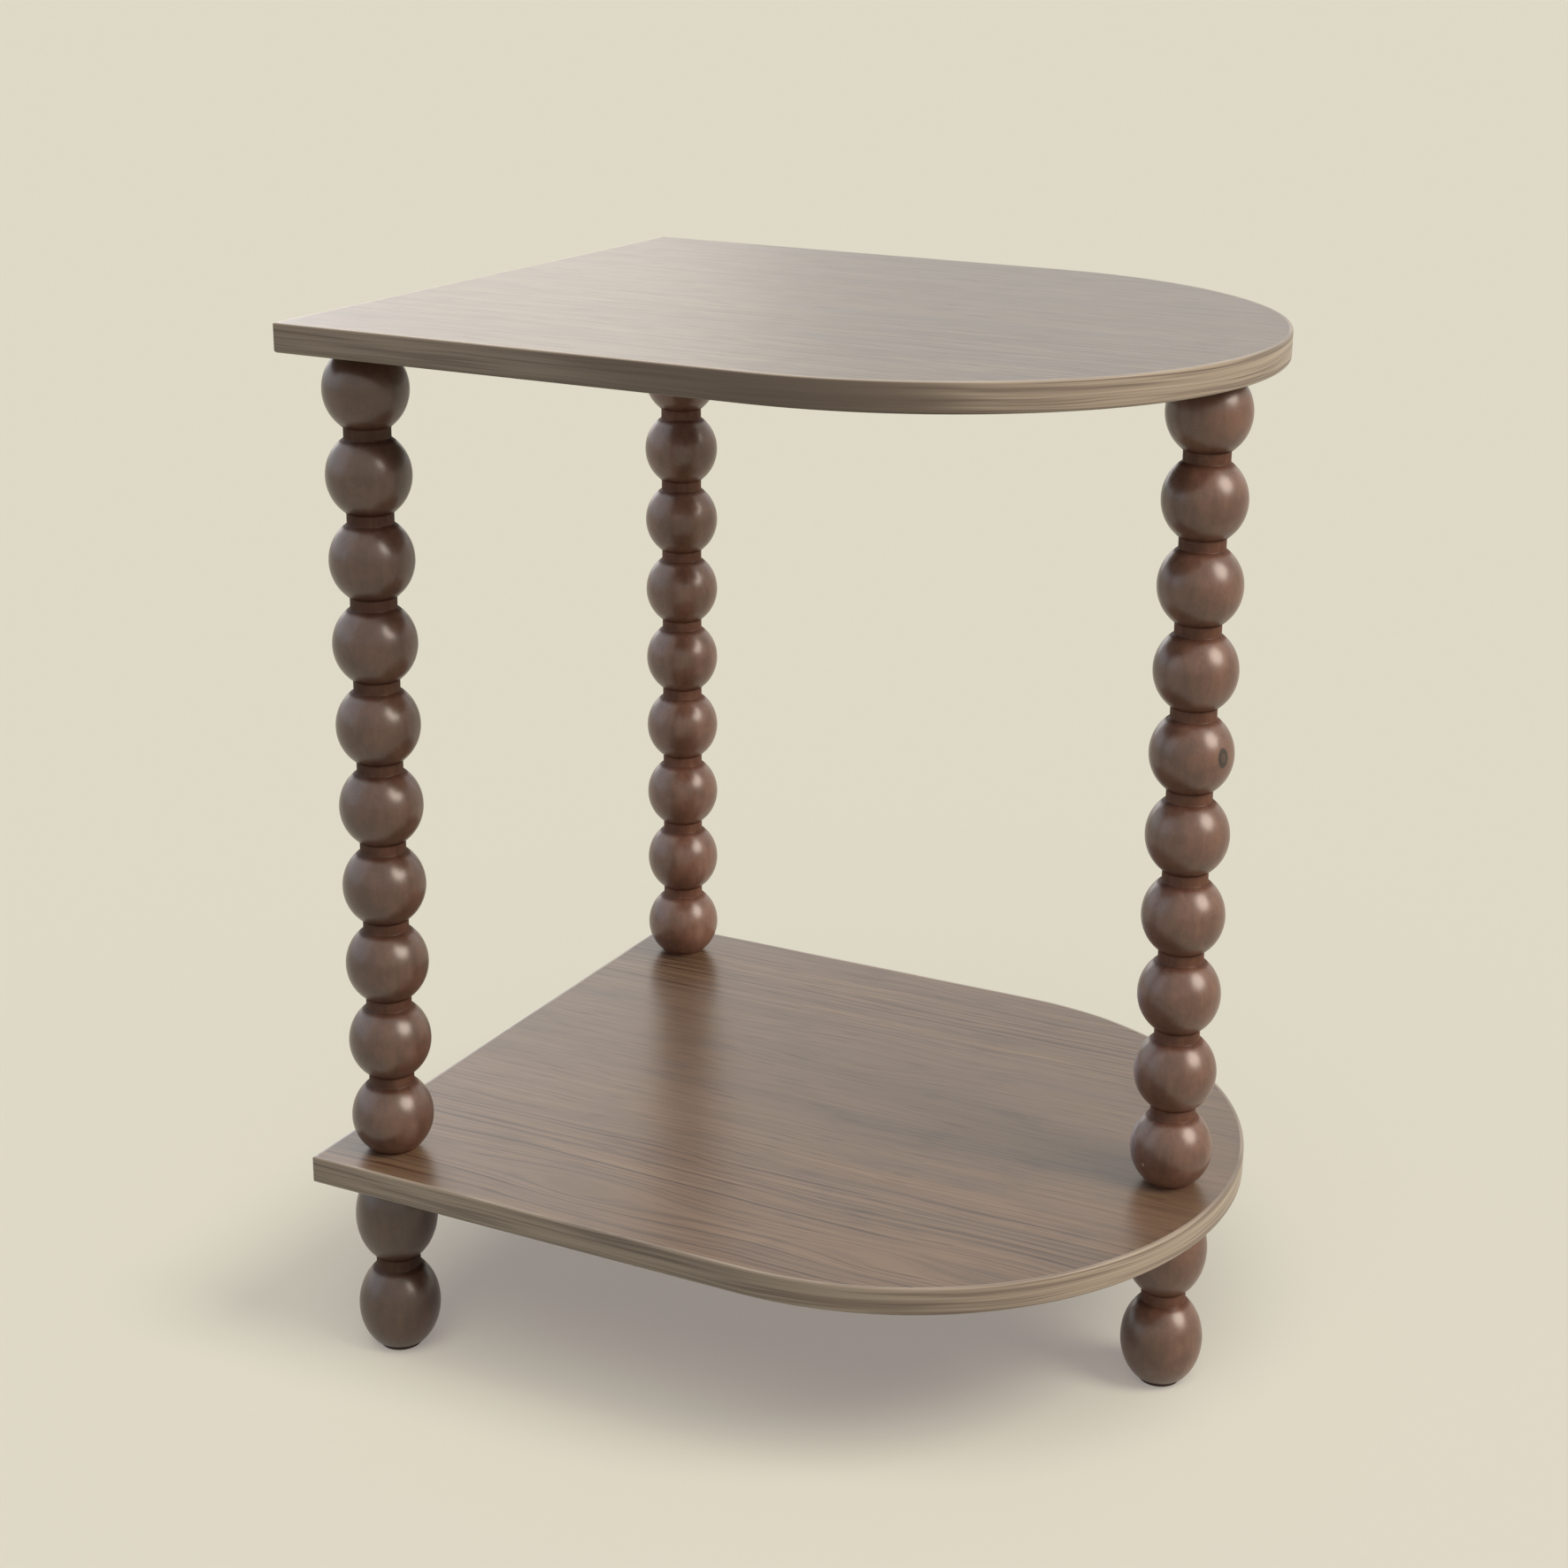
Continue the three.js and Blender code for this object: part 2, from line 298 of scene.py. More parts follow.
# How strong the grain lines are across each board, from the front edge to the back: pairs of shares
LINE_SHARES = {
    "top": [(0, 0.5), (0.1, 0.8), (0.25, 1), (0.38, 0.9), (0.5, 0.5), (0.85, 0.7), (1, 0.4)],
    "shelf": [
        (0, 0.6), (0.1, 0.45), (0.18, 0.7), (0.26, 0.8), (0.33, 0.3), (0.5, 0.12),
        (0.7, 0.12), (0.77, 0.55), (0.84, 1), (0.92, 0.8), (1, 0.3),
    ],
}

# How much darker the ground is across each board, from the front edge to the back: pairs of shares
GROUND_SHARES = {
    "top": [(0, 0.45), (0.4, 0.55), (1, 0.75)],
    "shelf": [(0, 0), (0.2, 0), (0.35, 0.1), (0.5, 0.25), (0.7, 0.35), (0.85, 0.15), (1, 0.3)],
}

# Long dark lines that stand out in the printed faces: the place across the board in
# millimetres, from the middle towards the back, and how dark each is
LONG_LINES = {
    "top": [
        (-48, 0.5), (-62, 0.6), (-75, 0.4), (-96, 0.6), (-110, 0.4), (-128, 0.6), (-150, 0.5),
        (92, 0.4), (140, 0.5),
    ],
    "shelf": [
        (148, 0.8), (142, 0.45), (133, 0.75), (128, 0.4), (160, 0.4), (-96, 0.45), (-101, 0.3),
        (-107, 0.4), (-113, 0.5), (-126, 0.9), (-139, 0.4), (-166, 0.6), (-180, 0.5),
    ],
}

# How wide a long line is from its middle, where it is full and where it is gone
LONG_LINE_HALVES = (0.3 * MM, 1.3 * MM)

# How dark the fine streaks of each board are
STREAK_SHARES = {"top": 0.9, "shelf": 0.7}

# How dark the pores of each board are, how many there are, and how deep the streaks and pores are pressed
PORE_SHARES = {"top": 0.55, "shelf": 0.25}
PORE_LIMITS = {"top": (0.3, 0.4), "shelf": (0.28, 0.38)}
RELIEFS = {"top": 0.7, "shelf": 0.3}
RELIEF_DEPTH = 0.06 * MM

# Where in a growth ring its line starts and where it is darkest, how rare the strong rings are, and how dark
# rings and coarse streaks are drawn
RING_START_SHARE = 0.5
RING_PEAK_SHARE = 0.95
RING_RARITY = 1.5
RING_DEPTH = 1.3
COARSE_SHARE = 0.3

# How strong streaks are where there are no grain lines, and how much the lines add
STREAK_BASE_SHARE = 0.3
STREAK_LINE_SHARE = 0.4

# How strongly the clear resin over the print mirrors, as an index of refraction
RESIN_IOR = 1.6


def melamine(board, settings):
    """Melamine-faced board: a walnut print under a clear resin, pressed on a satin plate.

    The eye gets printed grain lines with hardly any depth, a soft sheen that pales at a low angle, and pores.
    Streaks and pores are drawn wider than real ones, so that they show."""
    material, tree, shader = finish(f"Walnut-effect melamine, {board}")
    place = add(tree, "ShaderNodeTexCoord", out="Object")
    along = add(tree, "ShaderNodeSeparateXYZ", [place], out="X")
    across = along.node.outputs["Y"]

    # The lines swing round each knot and wander a little elsewhere
    swung = across
    for middle_x, middle_y, reach_x, reach_y, pull in FIGURES[board]:
        offset = add(tree, VECTOR, [place, (middle_x * MM, middle_y * MM, 0)], operation="SUBTRACT")
        shares = add(tree, VECTOR, [offset, (per(reach_x), per(reach_y), 0)], operation="MULTIPLY")
        square = add(tree, VECTOR, [shares, shares], operation="DOT_PRODUCT", out="Value")
        fall = add(tree, MATH, [SWING_SHARE, square], operation="POWER")
        swing = add(tree, MATH, [fall, pull], operation="MULTIPLY")
        side = add(tree, "ShaderNodeSeparateXYZ", [offset], out="Y")
        shift = add(tree, MATH, [side, swing], operation="MULTIPLY")
        swung = add(tree, MATH, [swung, shift], operation="SUBTRACT")
    for run, pitch, reach in WANDERS:
        spot = add(tree, "ShaderNodeCombineXYZ", [along, across, 0])
        spot = add(tree, VECTOR, [spot, (per(run), per(pitch), 0)], operation="MULTIPLY")
        wander = add(tree, NOISE, {"Vector": spot, "Scale": 1, "Detail": 2})
        wander = add(tree, MATH, [wander, 0.5], operation="SUBTRACT")
        swung = add(tree, MATH, [wander, reach * MM, swung], operation="MULTIPLY_ADD")

    # Noises far longer along the grain than across it: the run, the pitch, the fineness, the two values
    # between which each turns, and what it gives at both of them
    noises = {}
    layers = {}
    for name, run, pitch, detail, *turn in (
        ("smudge", 45 * MM, 22 * MM, 3, 0.5, 0.75, 0, 0.35),
        ("band", 320 * MM, 26 * MM, 2, 0.4, 0.7, 0, 0.35),
        ("luck", 260 * MM, 8 * MM, 1, 0.4, 0.6, 0.1, 1),
        ("coarse", settings.streak_run * 1.6, settings.streak_pitch * 2.4, 2, 0.4, 0.6, 1, 0),
        ("fine", settings.streak_run, settings.streak_pitch, 3, 0.36, 0.6, 1, 0),
        ("pore", settings.pore_length, settings.pore_width, 0, *PORE_LIMITS[board], 1, 0),
    ):
        spot = add(tree, "ShaderNodeCombineXYZ", [along, swung, 0])
        spot = add(tree, VECTOR, [spot, (1 / run, 1 / pitch, 0)], operation="MULTIPLY")
        noises[name] = add(tree, NOISE, {"Vector": spot, "Scale": 1, "Detail": detail})
        layers[name] = add(tree, RANGE, [noises[name], *turn], **SOFT)

    # How strong the lines are at this place across the board
    reach = TOP_HIGH.y - TOP_LOW.y
    place_share = add(tree, MATH, [across, 1 / reach, 0.5], operation="MULTIPLY_ADD")
    lined = curve_of(tree, place_share, LINE_SHARES[board])

    # Growth rings: each darkens slowly and ends sharply, some are strong and most are faint
    ring = add(tree, MATH, [swung, 1 / settings.line_pitch], operation="MULTIPLY")
    number = add(tree, MATH, [ring], operation="FLOOR")
    phase = add(tree, MATH, [ring], operation="FRACT")
    chance = add(tree, "ShaderNodeTexWhiteNoise", {"W": number}, noise_dimensions="1D")
    line = add(tree, RANGE, [phase, RING_START_SHARE, RING_PEAK_SHARE, 0, 1], **SOFT)
    fade = add(tree, RANGE, [phase, RING_PEAK_SHARE, 1.0, 1, 0])
    chance = add(tree, MATH, [chance, RING_RARITY], operation="POWER")
    for factor in (fade, chance, layers["luck"], lined):
        line = add(tree, MATH, [line, factor], operation="MULTIPLY")
    long_line = 0.0
    for middle, depth in LONG_LINES[board]:
        off = add(tree, MATH, [swung, middle * MM], operation="SUBTRACT")
        off = add(tree, MATH, [off], operation="ABSOLUTE")
        off = add(tree, RANGE, [off, *LONG_LINE_HALVES, depth, 0], **SOFT)
        long_line = add(tree, MATH, [off, long_line], operation="ADD")
    long_luck = add(tree, RANGE, [noises["band"], 0.35, 0.5, 0.35, 1])

    # All that darkens the print, one over the other
    streaky = add(tree, MATH, [lined, STREAK_LINE_SHARE, STREAK_BASE_SHARE], operation="MULTIPLY_ADD")
    dark = add(tree, MATH, [layers["coarse"], COARSE_SHARE, 0], operation="MULTIPLY_ADD")
    dark = add(tree, MATH, [layers["fine"], STREAK_SHARES[board], dark], operation="MULTIPLY_ADD")
    dark = add(tree, MATH, [dark, streaky], operation="MULTIPLY")
    dark = add(tree, MATH, [line, RING_DEPTH, dark], operation="MULTIPLY_ADD")
    dark = add(tree, MATH, [long_line, long_luck, dark], operation="MULTIPLY_ADD")
    pored = [layers["pore"], PORE_SHARES[board], dark]
    dark = add(tree, MATH, pored, operation="MULTIPLY_ADD", use_clamp=True)
    shade = add(tree, MATH, [layers["band"], layers["smudge"]], operation="ADD")
    ground_shade = curve_of(tree, place_share, GROUND_SHARES[board])
    shade = add(tree, MATH, [shade, ground_shade], operation="ADD", use_clamp=True)
    tones = {0: shade, 6: opaque(settings.ground), 7: opaque(settings.shadow)}
    ground = add(tree, MIX, tones, **COLOURS)
    print_colour = add(tree, MIX, {0: dark, 6: ground, 7: opaque(settings.latewood)}, **COLOURS)

    relief = add(tree, MATH, [layers["fine"], layers["pore"]], operation="ADD")
    pressed = {"Strength": RELIEFS[board], "Distance": RELIEF_DEPTH, "Height": relief}
    normal = add(tree, "ShaderNodeBump", pressed, invert=True)
    resin = {"Roughness": settings.gloss, "IOR": RESIN_IOR, "Normal": normal}
    set_inputs(tree, shader, {"Base Color": print_colour, **resin})
    return material


# How much painted shade darkens the print along a side strip, from its front end to its back end: pairs of
# shares
STRIP_PAINTED_SHADE = {
    "top": [(0, 0.3), (0.12, 0.4), (0.2, 0.8), (0.28, 0.9), (0.34, 0.1), (0.45, 0), (1, 0.4)],
    "shelf": [(0, 0.15), (0.12, 0.05), (0.25, 0.2), (0.33, 0.2), (0.45, 0), (1, 0.2)],
}

# How strong the painted highlight along the face edge of a side strip is, from its front end to its back end:
# pairs of shares
EDGE_HIGHLIGHT_SHARES = {"top": [(0, 0.6), (0.3, 0.6), (0.42, 0.2), (1, 0.1)], "shelf": [(0, 0.1), (1, 0.1)]}

# How far under the face the painted highlight starts, and how far under it it is whole
EDGE_HIGHLIGHT_STARTS = 0.7 * MM
EDGE_HIGHLIGHT_WHOLE = 0.2 * MM

# How the lines of a strip wander: the run along it and the pitch up it in millimetres, and how far they go
STRIP_WANDER_RUN = 150
STRIP_WANDER_PITCH = 20
STRIP_WANDER = 7 * MM

# How strongly the fine lines of a strip are pressed in, and how deep
STRIP_RELIEF = 0.2
STRIP_RELIEF_DEPTH = 0.04 * MM


def edging_strip(board, settings):
    """ABS edging strip: a printed wood grain under matt lacquer, glued on hot and trimmed to the board.

    The eye gets dark lines that run along the strip and a duller, paler sheen than the faces have. Painted
    shade darkens parts of the strip, and a painted highlight runs along its face edge as a pale line."""
    material, tree, shader = finish(f"Wood-print ABS edging, {board}")
    strip_place = add(tree, "ShaderNodeUVMap", uv_map="UVMap")
    steps = (per(STRIP_WANDER_RUN), per(STRIP_WANDER_PITCH), 0)
    wander_at = add(tree, VECTOR, [strip_place, steps], operation="MULTIPLY")
    wander = add(tree, NOISE, {"Vector": wander_at, "Scale": 1, "Detail": 2})
    wander = add(tree, MATH, [wander, STRIP_WANDER], operation="MULTIPLY")
    shift = add(tree, "ShaderNodeCombineXYZ", [0, wander, 0])
    spot = add(tree, VECTOR, [strip_place, shift], operation="ADD")

    # Strong lines, fine lines and broad bands: the run, the pitch, and the two values between which the
    # noise turns. The strong lines darken the print most and the bands least
    layers = []
    for run, pitch, low, high in (
        (settings.line_run, settings.line_pitch, 0.36, 0.58),
        (settings.line_run, settings.line_pitch / 3, 0.36, 0.62),
        (settings.line_run * 2, settings.line_pitch * 3, 0.35, 0.65),
    ):
        stretched = add(tree, VECTOR, [spot, (1 / run, 1 / pitch, 0)], operation="MULTIPLY")
        layer = add(tree, NOISE, {"Vector": stretched, "Scale": 1, "Detail": 2})
        layers.append(add(tree, RANGE, [layer, low, high, 1, 0], **SOFT))
    dark = add(tree, MATH, [layers[0], 0.5, 0], operation="MULTIPLY_ADD")
    dark = add(tree, MATH, [layers[1], 0.35, dark], operation="MULTIPLY_ADD")
    dark = add(tree, MATH, [layers[2], 0.1, dark], operation="MULTIPLY_ADD", use_clamp=True)
    tones = {0: dark, 6: opaque(settings.ground), 7: opaque(settings.latewood)}
    print_colour = add(tree, MIX, tones, **COLOURS)

    # Painted shade darkens the print along some of the strip, and a painted highlight in the body colour runs
    # along the face edge
    run = add(tree, "ShaderNodeSeparateXYZ", [strip_place], out="X")
    core = TOP_HIGH.y
    whole = 2 * (TOP_HIGH.x - core - TOP_LOW.x) + pi * core
    run_share = add(tree, MATH, [run, 1 / whole], operation="MULTIPLY")
    # Painted shade along the strip, drawn in the colour of the grain lines
    shade = curve_of(tree, run_share, STRIP_PAINTED_SHADE[board])
    print_colour = add(tree, MIX, {0: shade, 6: print_colour, 7: opaque(settings.latewood)}, **COLOURS)
    height = add(tree, "ShaderNodeSeparateXYZ", [add(tree, "ShaderNodeTexCoord", out="Object")], out="Z")
    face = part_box(f"{board}_board")[1].z
    # A painted highlight: the body colour along the face edge, strongest along the front of the top
    trimmed = add(tree, RANGE, [height, face - EDGE_HIGHLIGHT_STARTS, face - EDGE_HIGHLIGHT_WHOLE, 0, 1])
    edge_highlight_share = curve_of(tree, run_share, EDGE_HIGHLIGHT_SHARES[board])
    trimmed = add(tree, MATH, [trimmed, edge_highlight_share], operation="MULTIPLY")
    print_colour = add(tree, MIX, {0: trimmed, 6: print_colour, 7: opaque(settings.body)}, **COLOURS)
    pressed = {"Strength": STRIP_RELIEF, "Distance": STRIP_RELIEF_DEPTH, "Height": layers[1]}
    normal = add(tree, "ShaderNodeBump", pressed, invert=True)
    set_inputs(tree, shader, {"Base Color": print_colour, "Roughness": settings.gloss, "Normal": normal})
    return material


# Marks in the wood: the middle, and how far each reaches round the leg and up it, all in
# millimetres
KNOTS = [((213.5, -8.7, 361.2), 2.9, 4.4)]
CHIPS = [
    ((185.1, -20.1, 134.2), 1.0, 1.2),
    ((214.8, -4.4, 277.6), 0.7, 0.7),
    ((205.1, -18.9, 41.3), 0.8, 1.0),
]

# Where a knot's dark ring lies, as a share of the knot's reach
KNOT_RING_SHARE = 0.85


def mark(tree, place, middle, reach, height):
    """How far a place is from the middle of a mark, as a share of the mark's reach."""
    offset = add(tree, VECTOR, [place, [part * MM for part in middle]], operation="SUBTRACT")
    shares = (per(reach), per(reach), per(height))
    offset = add(tree, VECTOR, [offset, shares], operation="MULTIPLY")
    return add(tree, VECTOR, [offset], operation="LENGTH", out="Value")


# Painted light and shade: how much lighter or darker each turned piece is drawn than the mean stain
PAINTED_LIGHT_AND_SHADE_SHARES = {
    "post": {"front": 0.74, "back": 1.2, "round_end": 1.07},
    "foot": {"front": 0.56, "back": 1, "round_end": 1},
}

# How light the stain is from the neck outwards, over the reach of a groove, where gathered stain and painted
# shade darken it: pairs of shares
GROOVE_STAIN_AND_SHADE_SHARES = [(0, 0.85), (0.08, 0.5), (0.2, 0.7), (0.5, 0.95), (1, 1)]

# The lacquer is drawn thin in the grooves: the depth of stain past which it is thin, and what is left of it
THIN_DEPTH_SHARE = 0.15
THIN_SHARE = 0.2

# How strongly the lacquer mirrors, as an index of refraction
LACQUER_IOR = 1.68

# The size of a speck in millimetres, and how strongly and how deep specks stand out
SPECK_SIZE = 0.8
SPECK_RELIEF = 0.12
SPECK_DEPTH = 0.05 * MM


def lacquered_wood(kind, leg, settings):
    """Stained and lacquered rubberwood, turned on a lathe and sprayed.

    The eye gets a warm brown stain, darker in the grooves where it gathers and where shade is painted, with
    faint cloudy patches and fine specks under a satin coat. Each piece's stain is also drawn lighter or
    darker as a whole, as painted light and shade."""
    material, tree, shader = finish(f"Brown stained lacquered wood, {kind} {leg}")
    place = add(tree, "ShaderNodeTexCoord", out="Object")
    stretched = add(tree, VECTOR, [place, (1, 1, 0.3)], operation="MULTIPLY")
    grain = {"Scale": 1 / settings.grain_pitch, "Detail": 3, "Roughness": 0.6, "Distortion": 0.6}
    grain = add(tree, NOISE, {"Vector": stretched, **grain})
    clouds = {"Scale": 1 / settings.blotch, "Detail": 3, "Roughness": 0.6}
    clouds = add(tree, NOISE, {"Vector": place, **clouds})
    specks = add(tree, NOISE, {"Vector": place, "Scale": per(SPECK_SIZE), "Detail": 1})
    pale = 0.0
    for layer, weight in ((grain, 0.35), (clouds, 0.5), (specks, 0.15)):
        pale = add(tree, MATH, [layer, weight, pale], operation="MULTIPLY_ADD")
    pale = add(tree, RANGE, [pale, 0.36, 0.64, 0.15, 0.85], **SOFT)
    stain = add(tree, MIX, {0: pale, 6: opaque(settings.stain), 7: opaque(settings.stain_pale)}, **COLOURS)

    # The stain gathers in the grooves, and the darker colour there is also painted shade
    offset = add(tree, VECTOR, [place, leg_axis(leg)], operation="SUBTRACT")
    offset = add(tree, VECTOR, [offset, (1, 1, 0)], operation="MULTIPLY")
    radius = add(tree, VECTOR, [offset], operation="LENGTH", out="Value")
    neck = settings.neck_diameter / 2
    out = add(tree, RANGE, [radius, neck, neck + settings.groove_reach, 0, 1])
    depth = add(tree, MATH, [1, curve_of(tree, out, GROOVE_STAIN_AND_SHADE_SHARES)], operation="SUBTRACT")
    stain = add(tree, MIX, {0: depth, 6: stain, 7: opaque(settings.groove_stain_and_shade)}, **COLOURS)
    # Painted light and shade: the whole piece is drawn lighter or darker
    stain = add(tree, VECTOR, {0: stain, "Scale": PAINTED_LIGHT_AND_SHADE_SHARES[kind][leg]}, operation="SCALE")

    # A knot is a dark ring with a dark heart, and a chip shows the pale wood
    for middle, reach, height in KNOTS:
        away = mark(tree, place, middle, reach, height)
        off_ring = add(tree, MATH, [away, KNOT_RING_SHARE], operation="SUBTRACT")
        off_ring = add(tree, MATH, [off_ring], operation="ABSOLUTE")
        ring = add(tree, RANGE, [off_ring, 0.2, 0.5, 0.95, 0], **SOFT)
        heart = add(tree, RANGE, [away, 0.8, 1.1, 0.6, 0], **SOFT)
        knotty = add(tree, MATH, [ring, heart], operation="MAXIMUM")
        stain = add(tree, MIX, {0: knotty, 6: stain, 7: opaque(settings.knot)}, **COLOURS)
    for middle, reach, height in CHIPS:
        away = mark(tree, place, middle, reach, height)
        chipped = add(tree, RANGE, [away, 0.7, 1.1, 0.8, 0], **SOFT)
        stain = add(tree, MIX, {0: chipped, 6: stain, 7: opaque(settings.bare)}, **COLOURS)

    pressed = {"Strength": SPECK_RELIEF, "Distance": SPECK_DEPTH, "Height": specks}
    normal = add(tree, "ShaderNodeBump", pressed)
    coat_weight = add(tree, RANGE, [depth, 0, THIN_DEPTH_SHARE, 1, THIN_SHARE])
    wood = {"Base Color": stain, "Roughness": 0.55, "Specular IOR Level": 0, "Normal": normal}
    coat = {"Coat Weight": coat_weight, "Coat Roughness": settings.gloss, "Coat IOR": LACQUER_IOR}
    set_inputs(tree, shader, {**wood, **coat, "Coat Normal": normal})
    return material


# How wide a ring from the tool, a dull patch of the metal and a grain of the rubber are, in millimetres
TOOL_RING = 0.5
METAL_PATCH = 4
RUBBER_GRAIN = 0.6


def turned_metal(name, colour_code, roughness):
    """A turned metal. The eye gets fine rings from the tool, drawn as coarse as they have to be to show, and
    patches that are duller or darker than the rest."""
    material, tree, shader = finish(name)
    place = add(tree, "ShaderNodeTexCoord", out="Object")
    ring_at = add(tree, VECTOR, [place, (0, 0, 1)], operation="MULTIPLY")
    rings = add(tree, NOISE, {"Vector": ring_at, "Scale": per(TOOL_RING), "Detail": 2})
    patches = add(tree, NOISE, {"Vector": place, "Scale": per(METAL_PATCH), "Detail": 3})
    dull = add(tree, RANGE, [patches, 0.3, 0.7, roughness - 0.08, roughness + 0.12])
    tint = add(tree, RANGE, [patches, 0.3, 0.7, 0.82, 1])
    tone = add(tree, VECTOR, {0: linear(colour_code), "Scale": tint}, operation="SCALE")
    normal = add(tree, "ShaderNodeBump", {"Strength": 0.2, "Distance": 0.02 * MM, "Height": rings})
    set_inputs(tree, shader, {"Base Color": tone, "Metallic": 1, "Roughness": dull, "Normal": normal})
    return material


def moulded_rubber():
    """Brown rubber, moulded with a fine spark texture. The eye gets a dull, even surface with tiny grain."""
    material, tree, shader = finish("Brown moulded rubber")
    place = add(tree, "ShaderNodeTexCoord", out="Object")
    grit = add(tree, NOISE, {"Vector": place, "Scale": per(RUBBER_GRAIN), "Detail": 3})
    tones = {0: grit, 6: opaque(linear("#33261f")), 7: opaque(linear("#463830"))}
    tone = add(tree, MIX, tones, **COLOURS)
    normal = add(tree, "ShaderNodeBump", {"Strength": 0.4, "Distance": 0.05 * MM, "Height": grit})
    set_inputs(tree, shader, {"Base Color": tone, "Roughness": 0.8, "Normal": normal})
    return material


def new_tree(name, sockets):
    """A Geometry Nodes tree with the given named inputs. Gives the tree and its inputs as sockets by name."""
    tree = bpy.data.node_groups.new(name, "GeometryNodeTree")
    for label, kind in sockets.items():
        tree.interface.new_socket(label, in_out="INPUT", socket_type=kind)
    tree.interface.new_socket("Geometry", in_out="OUTPUT", socket_type="NodeSocketGeometry")
    entry = tree.nodes.new("NodeGroupInput")
    return tree, {label: entry.outputs[label] for label in sockets}


def close_tree(tree, geometry, material):
    """Ends a tree: smooth faces with sharp creases, no instances left, and the finish on it."""
    angle = add(tree, "GeometryNodeInputMeshEdgeAngle", out="Unsigned Angle")
    kind, settings = STEPS["ABOVE"]
    crease = add(tree, kind, [angle, CREASE_ANGLE], **settings)
    whole = {"Geometry": geometry, "Shade Smooth": True}
    smooth = add(tree, "GeometryNodeSetShadeSmooth", whole, domain="FACE")
    sharp = {"Geometry": smooth, "Selection": crease, "Shade Smooth": False}
    creased = add(tree, "GeometryNodeSetShadeSmooth", sharp, domain="EDGE")
    real = add(tree, "GeometryNodeRealizeInstances", [creased])
    finished = add(tree, "GeometryNodeSetMaterial", {"Geometry": real, "Material": material})
    add(tree, "NodeGroupOutput", [finished])


def grow(name, tree, values, start):
    """Runs a tree on a start mesh and gives the result back as an object with a plain mesh."""
    source = bpy.data.objects.new(f"{name}_source", start)
    bpy.context.scene.collection.objects.link(source)
    modifier = source.modifiers.new(tree.name, "NODES")
    modifier.node_group = tree
    for item in tree.interface.items_tree:
        if item.name in values and item.in_out == "INPUT":
            modifier[item.identifier] = values[item.name]
    evaluated = source.evaluated_get(bpy.context.evaluated_depsgraph_get())
    mesh = bpy.data.meshes.new_from_object(evaluated)
    mesh.name = name
    mesh.materials.clear()
    mesh.materials.append(values["Finish"])
    source.modifiers.remove(modifier)
    bpy.data.objects.remove(source)
    piece = bpy.data.objects.new(name, mesh)
    bpy.context.scene.collection.objects.link(piece)
    return piece


def take_place(piece, slot, *nodes):
    """The piece stands for the CAD nodes and moves with the table. The slot is not used."""
    if not piece.data.polygons:
        raise RuntimeError(f"{piece.name} came out with no faces")
    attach(piece, BODY)
    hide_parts(*nodes)


# The named inputs of the post's tree, but for its finish, and which of them are counts
POST_INPUTS = (
    "Bead Count", "Bead Pitch", "Bead Radius", "Neck Radius", "Collar Height", "Seat Height", "Fillet Rise",
    "Bead Steps", "Collar Steps", "Sides", "Insert Hole Radius", "Insert Hole Depth", "Flange Hole Radius",
    "Flange Hole Depth", "Bolt Hole Radius", "Bolt Hole Depth",
)
POST_COUNTS = ("Bead Count", "Bead Steps", "Collar Steps", "Sides")

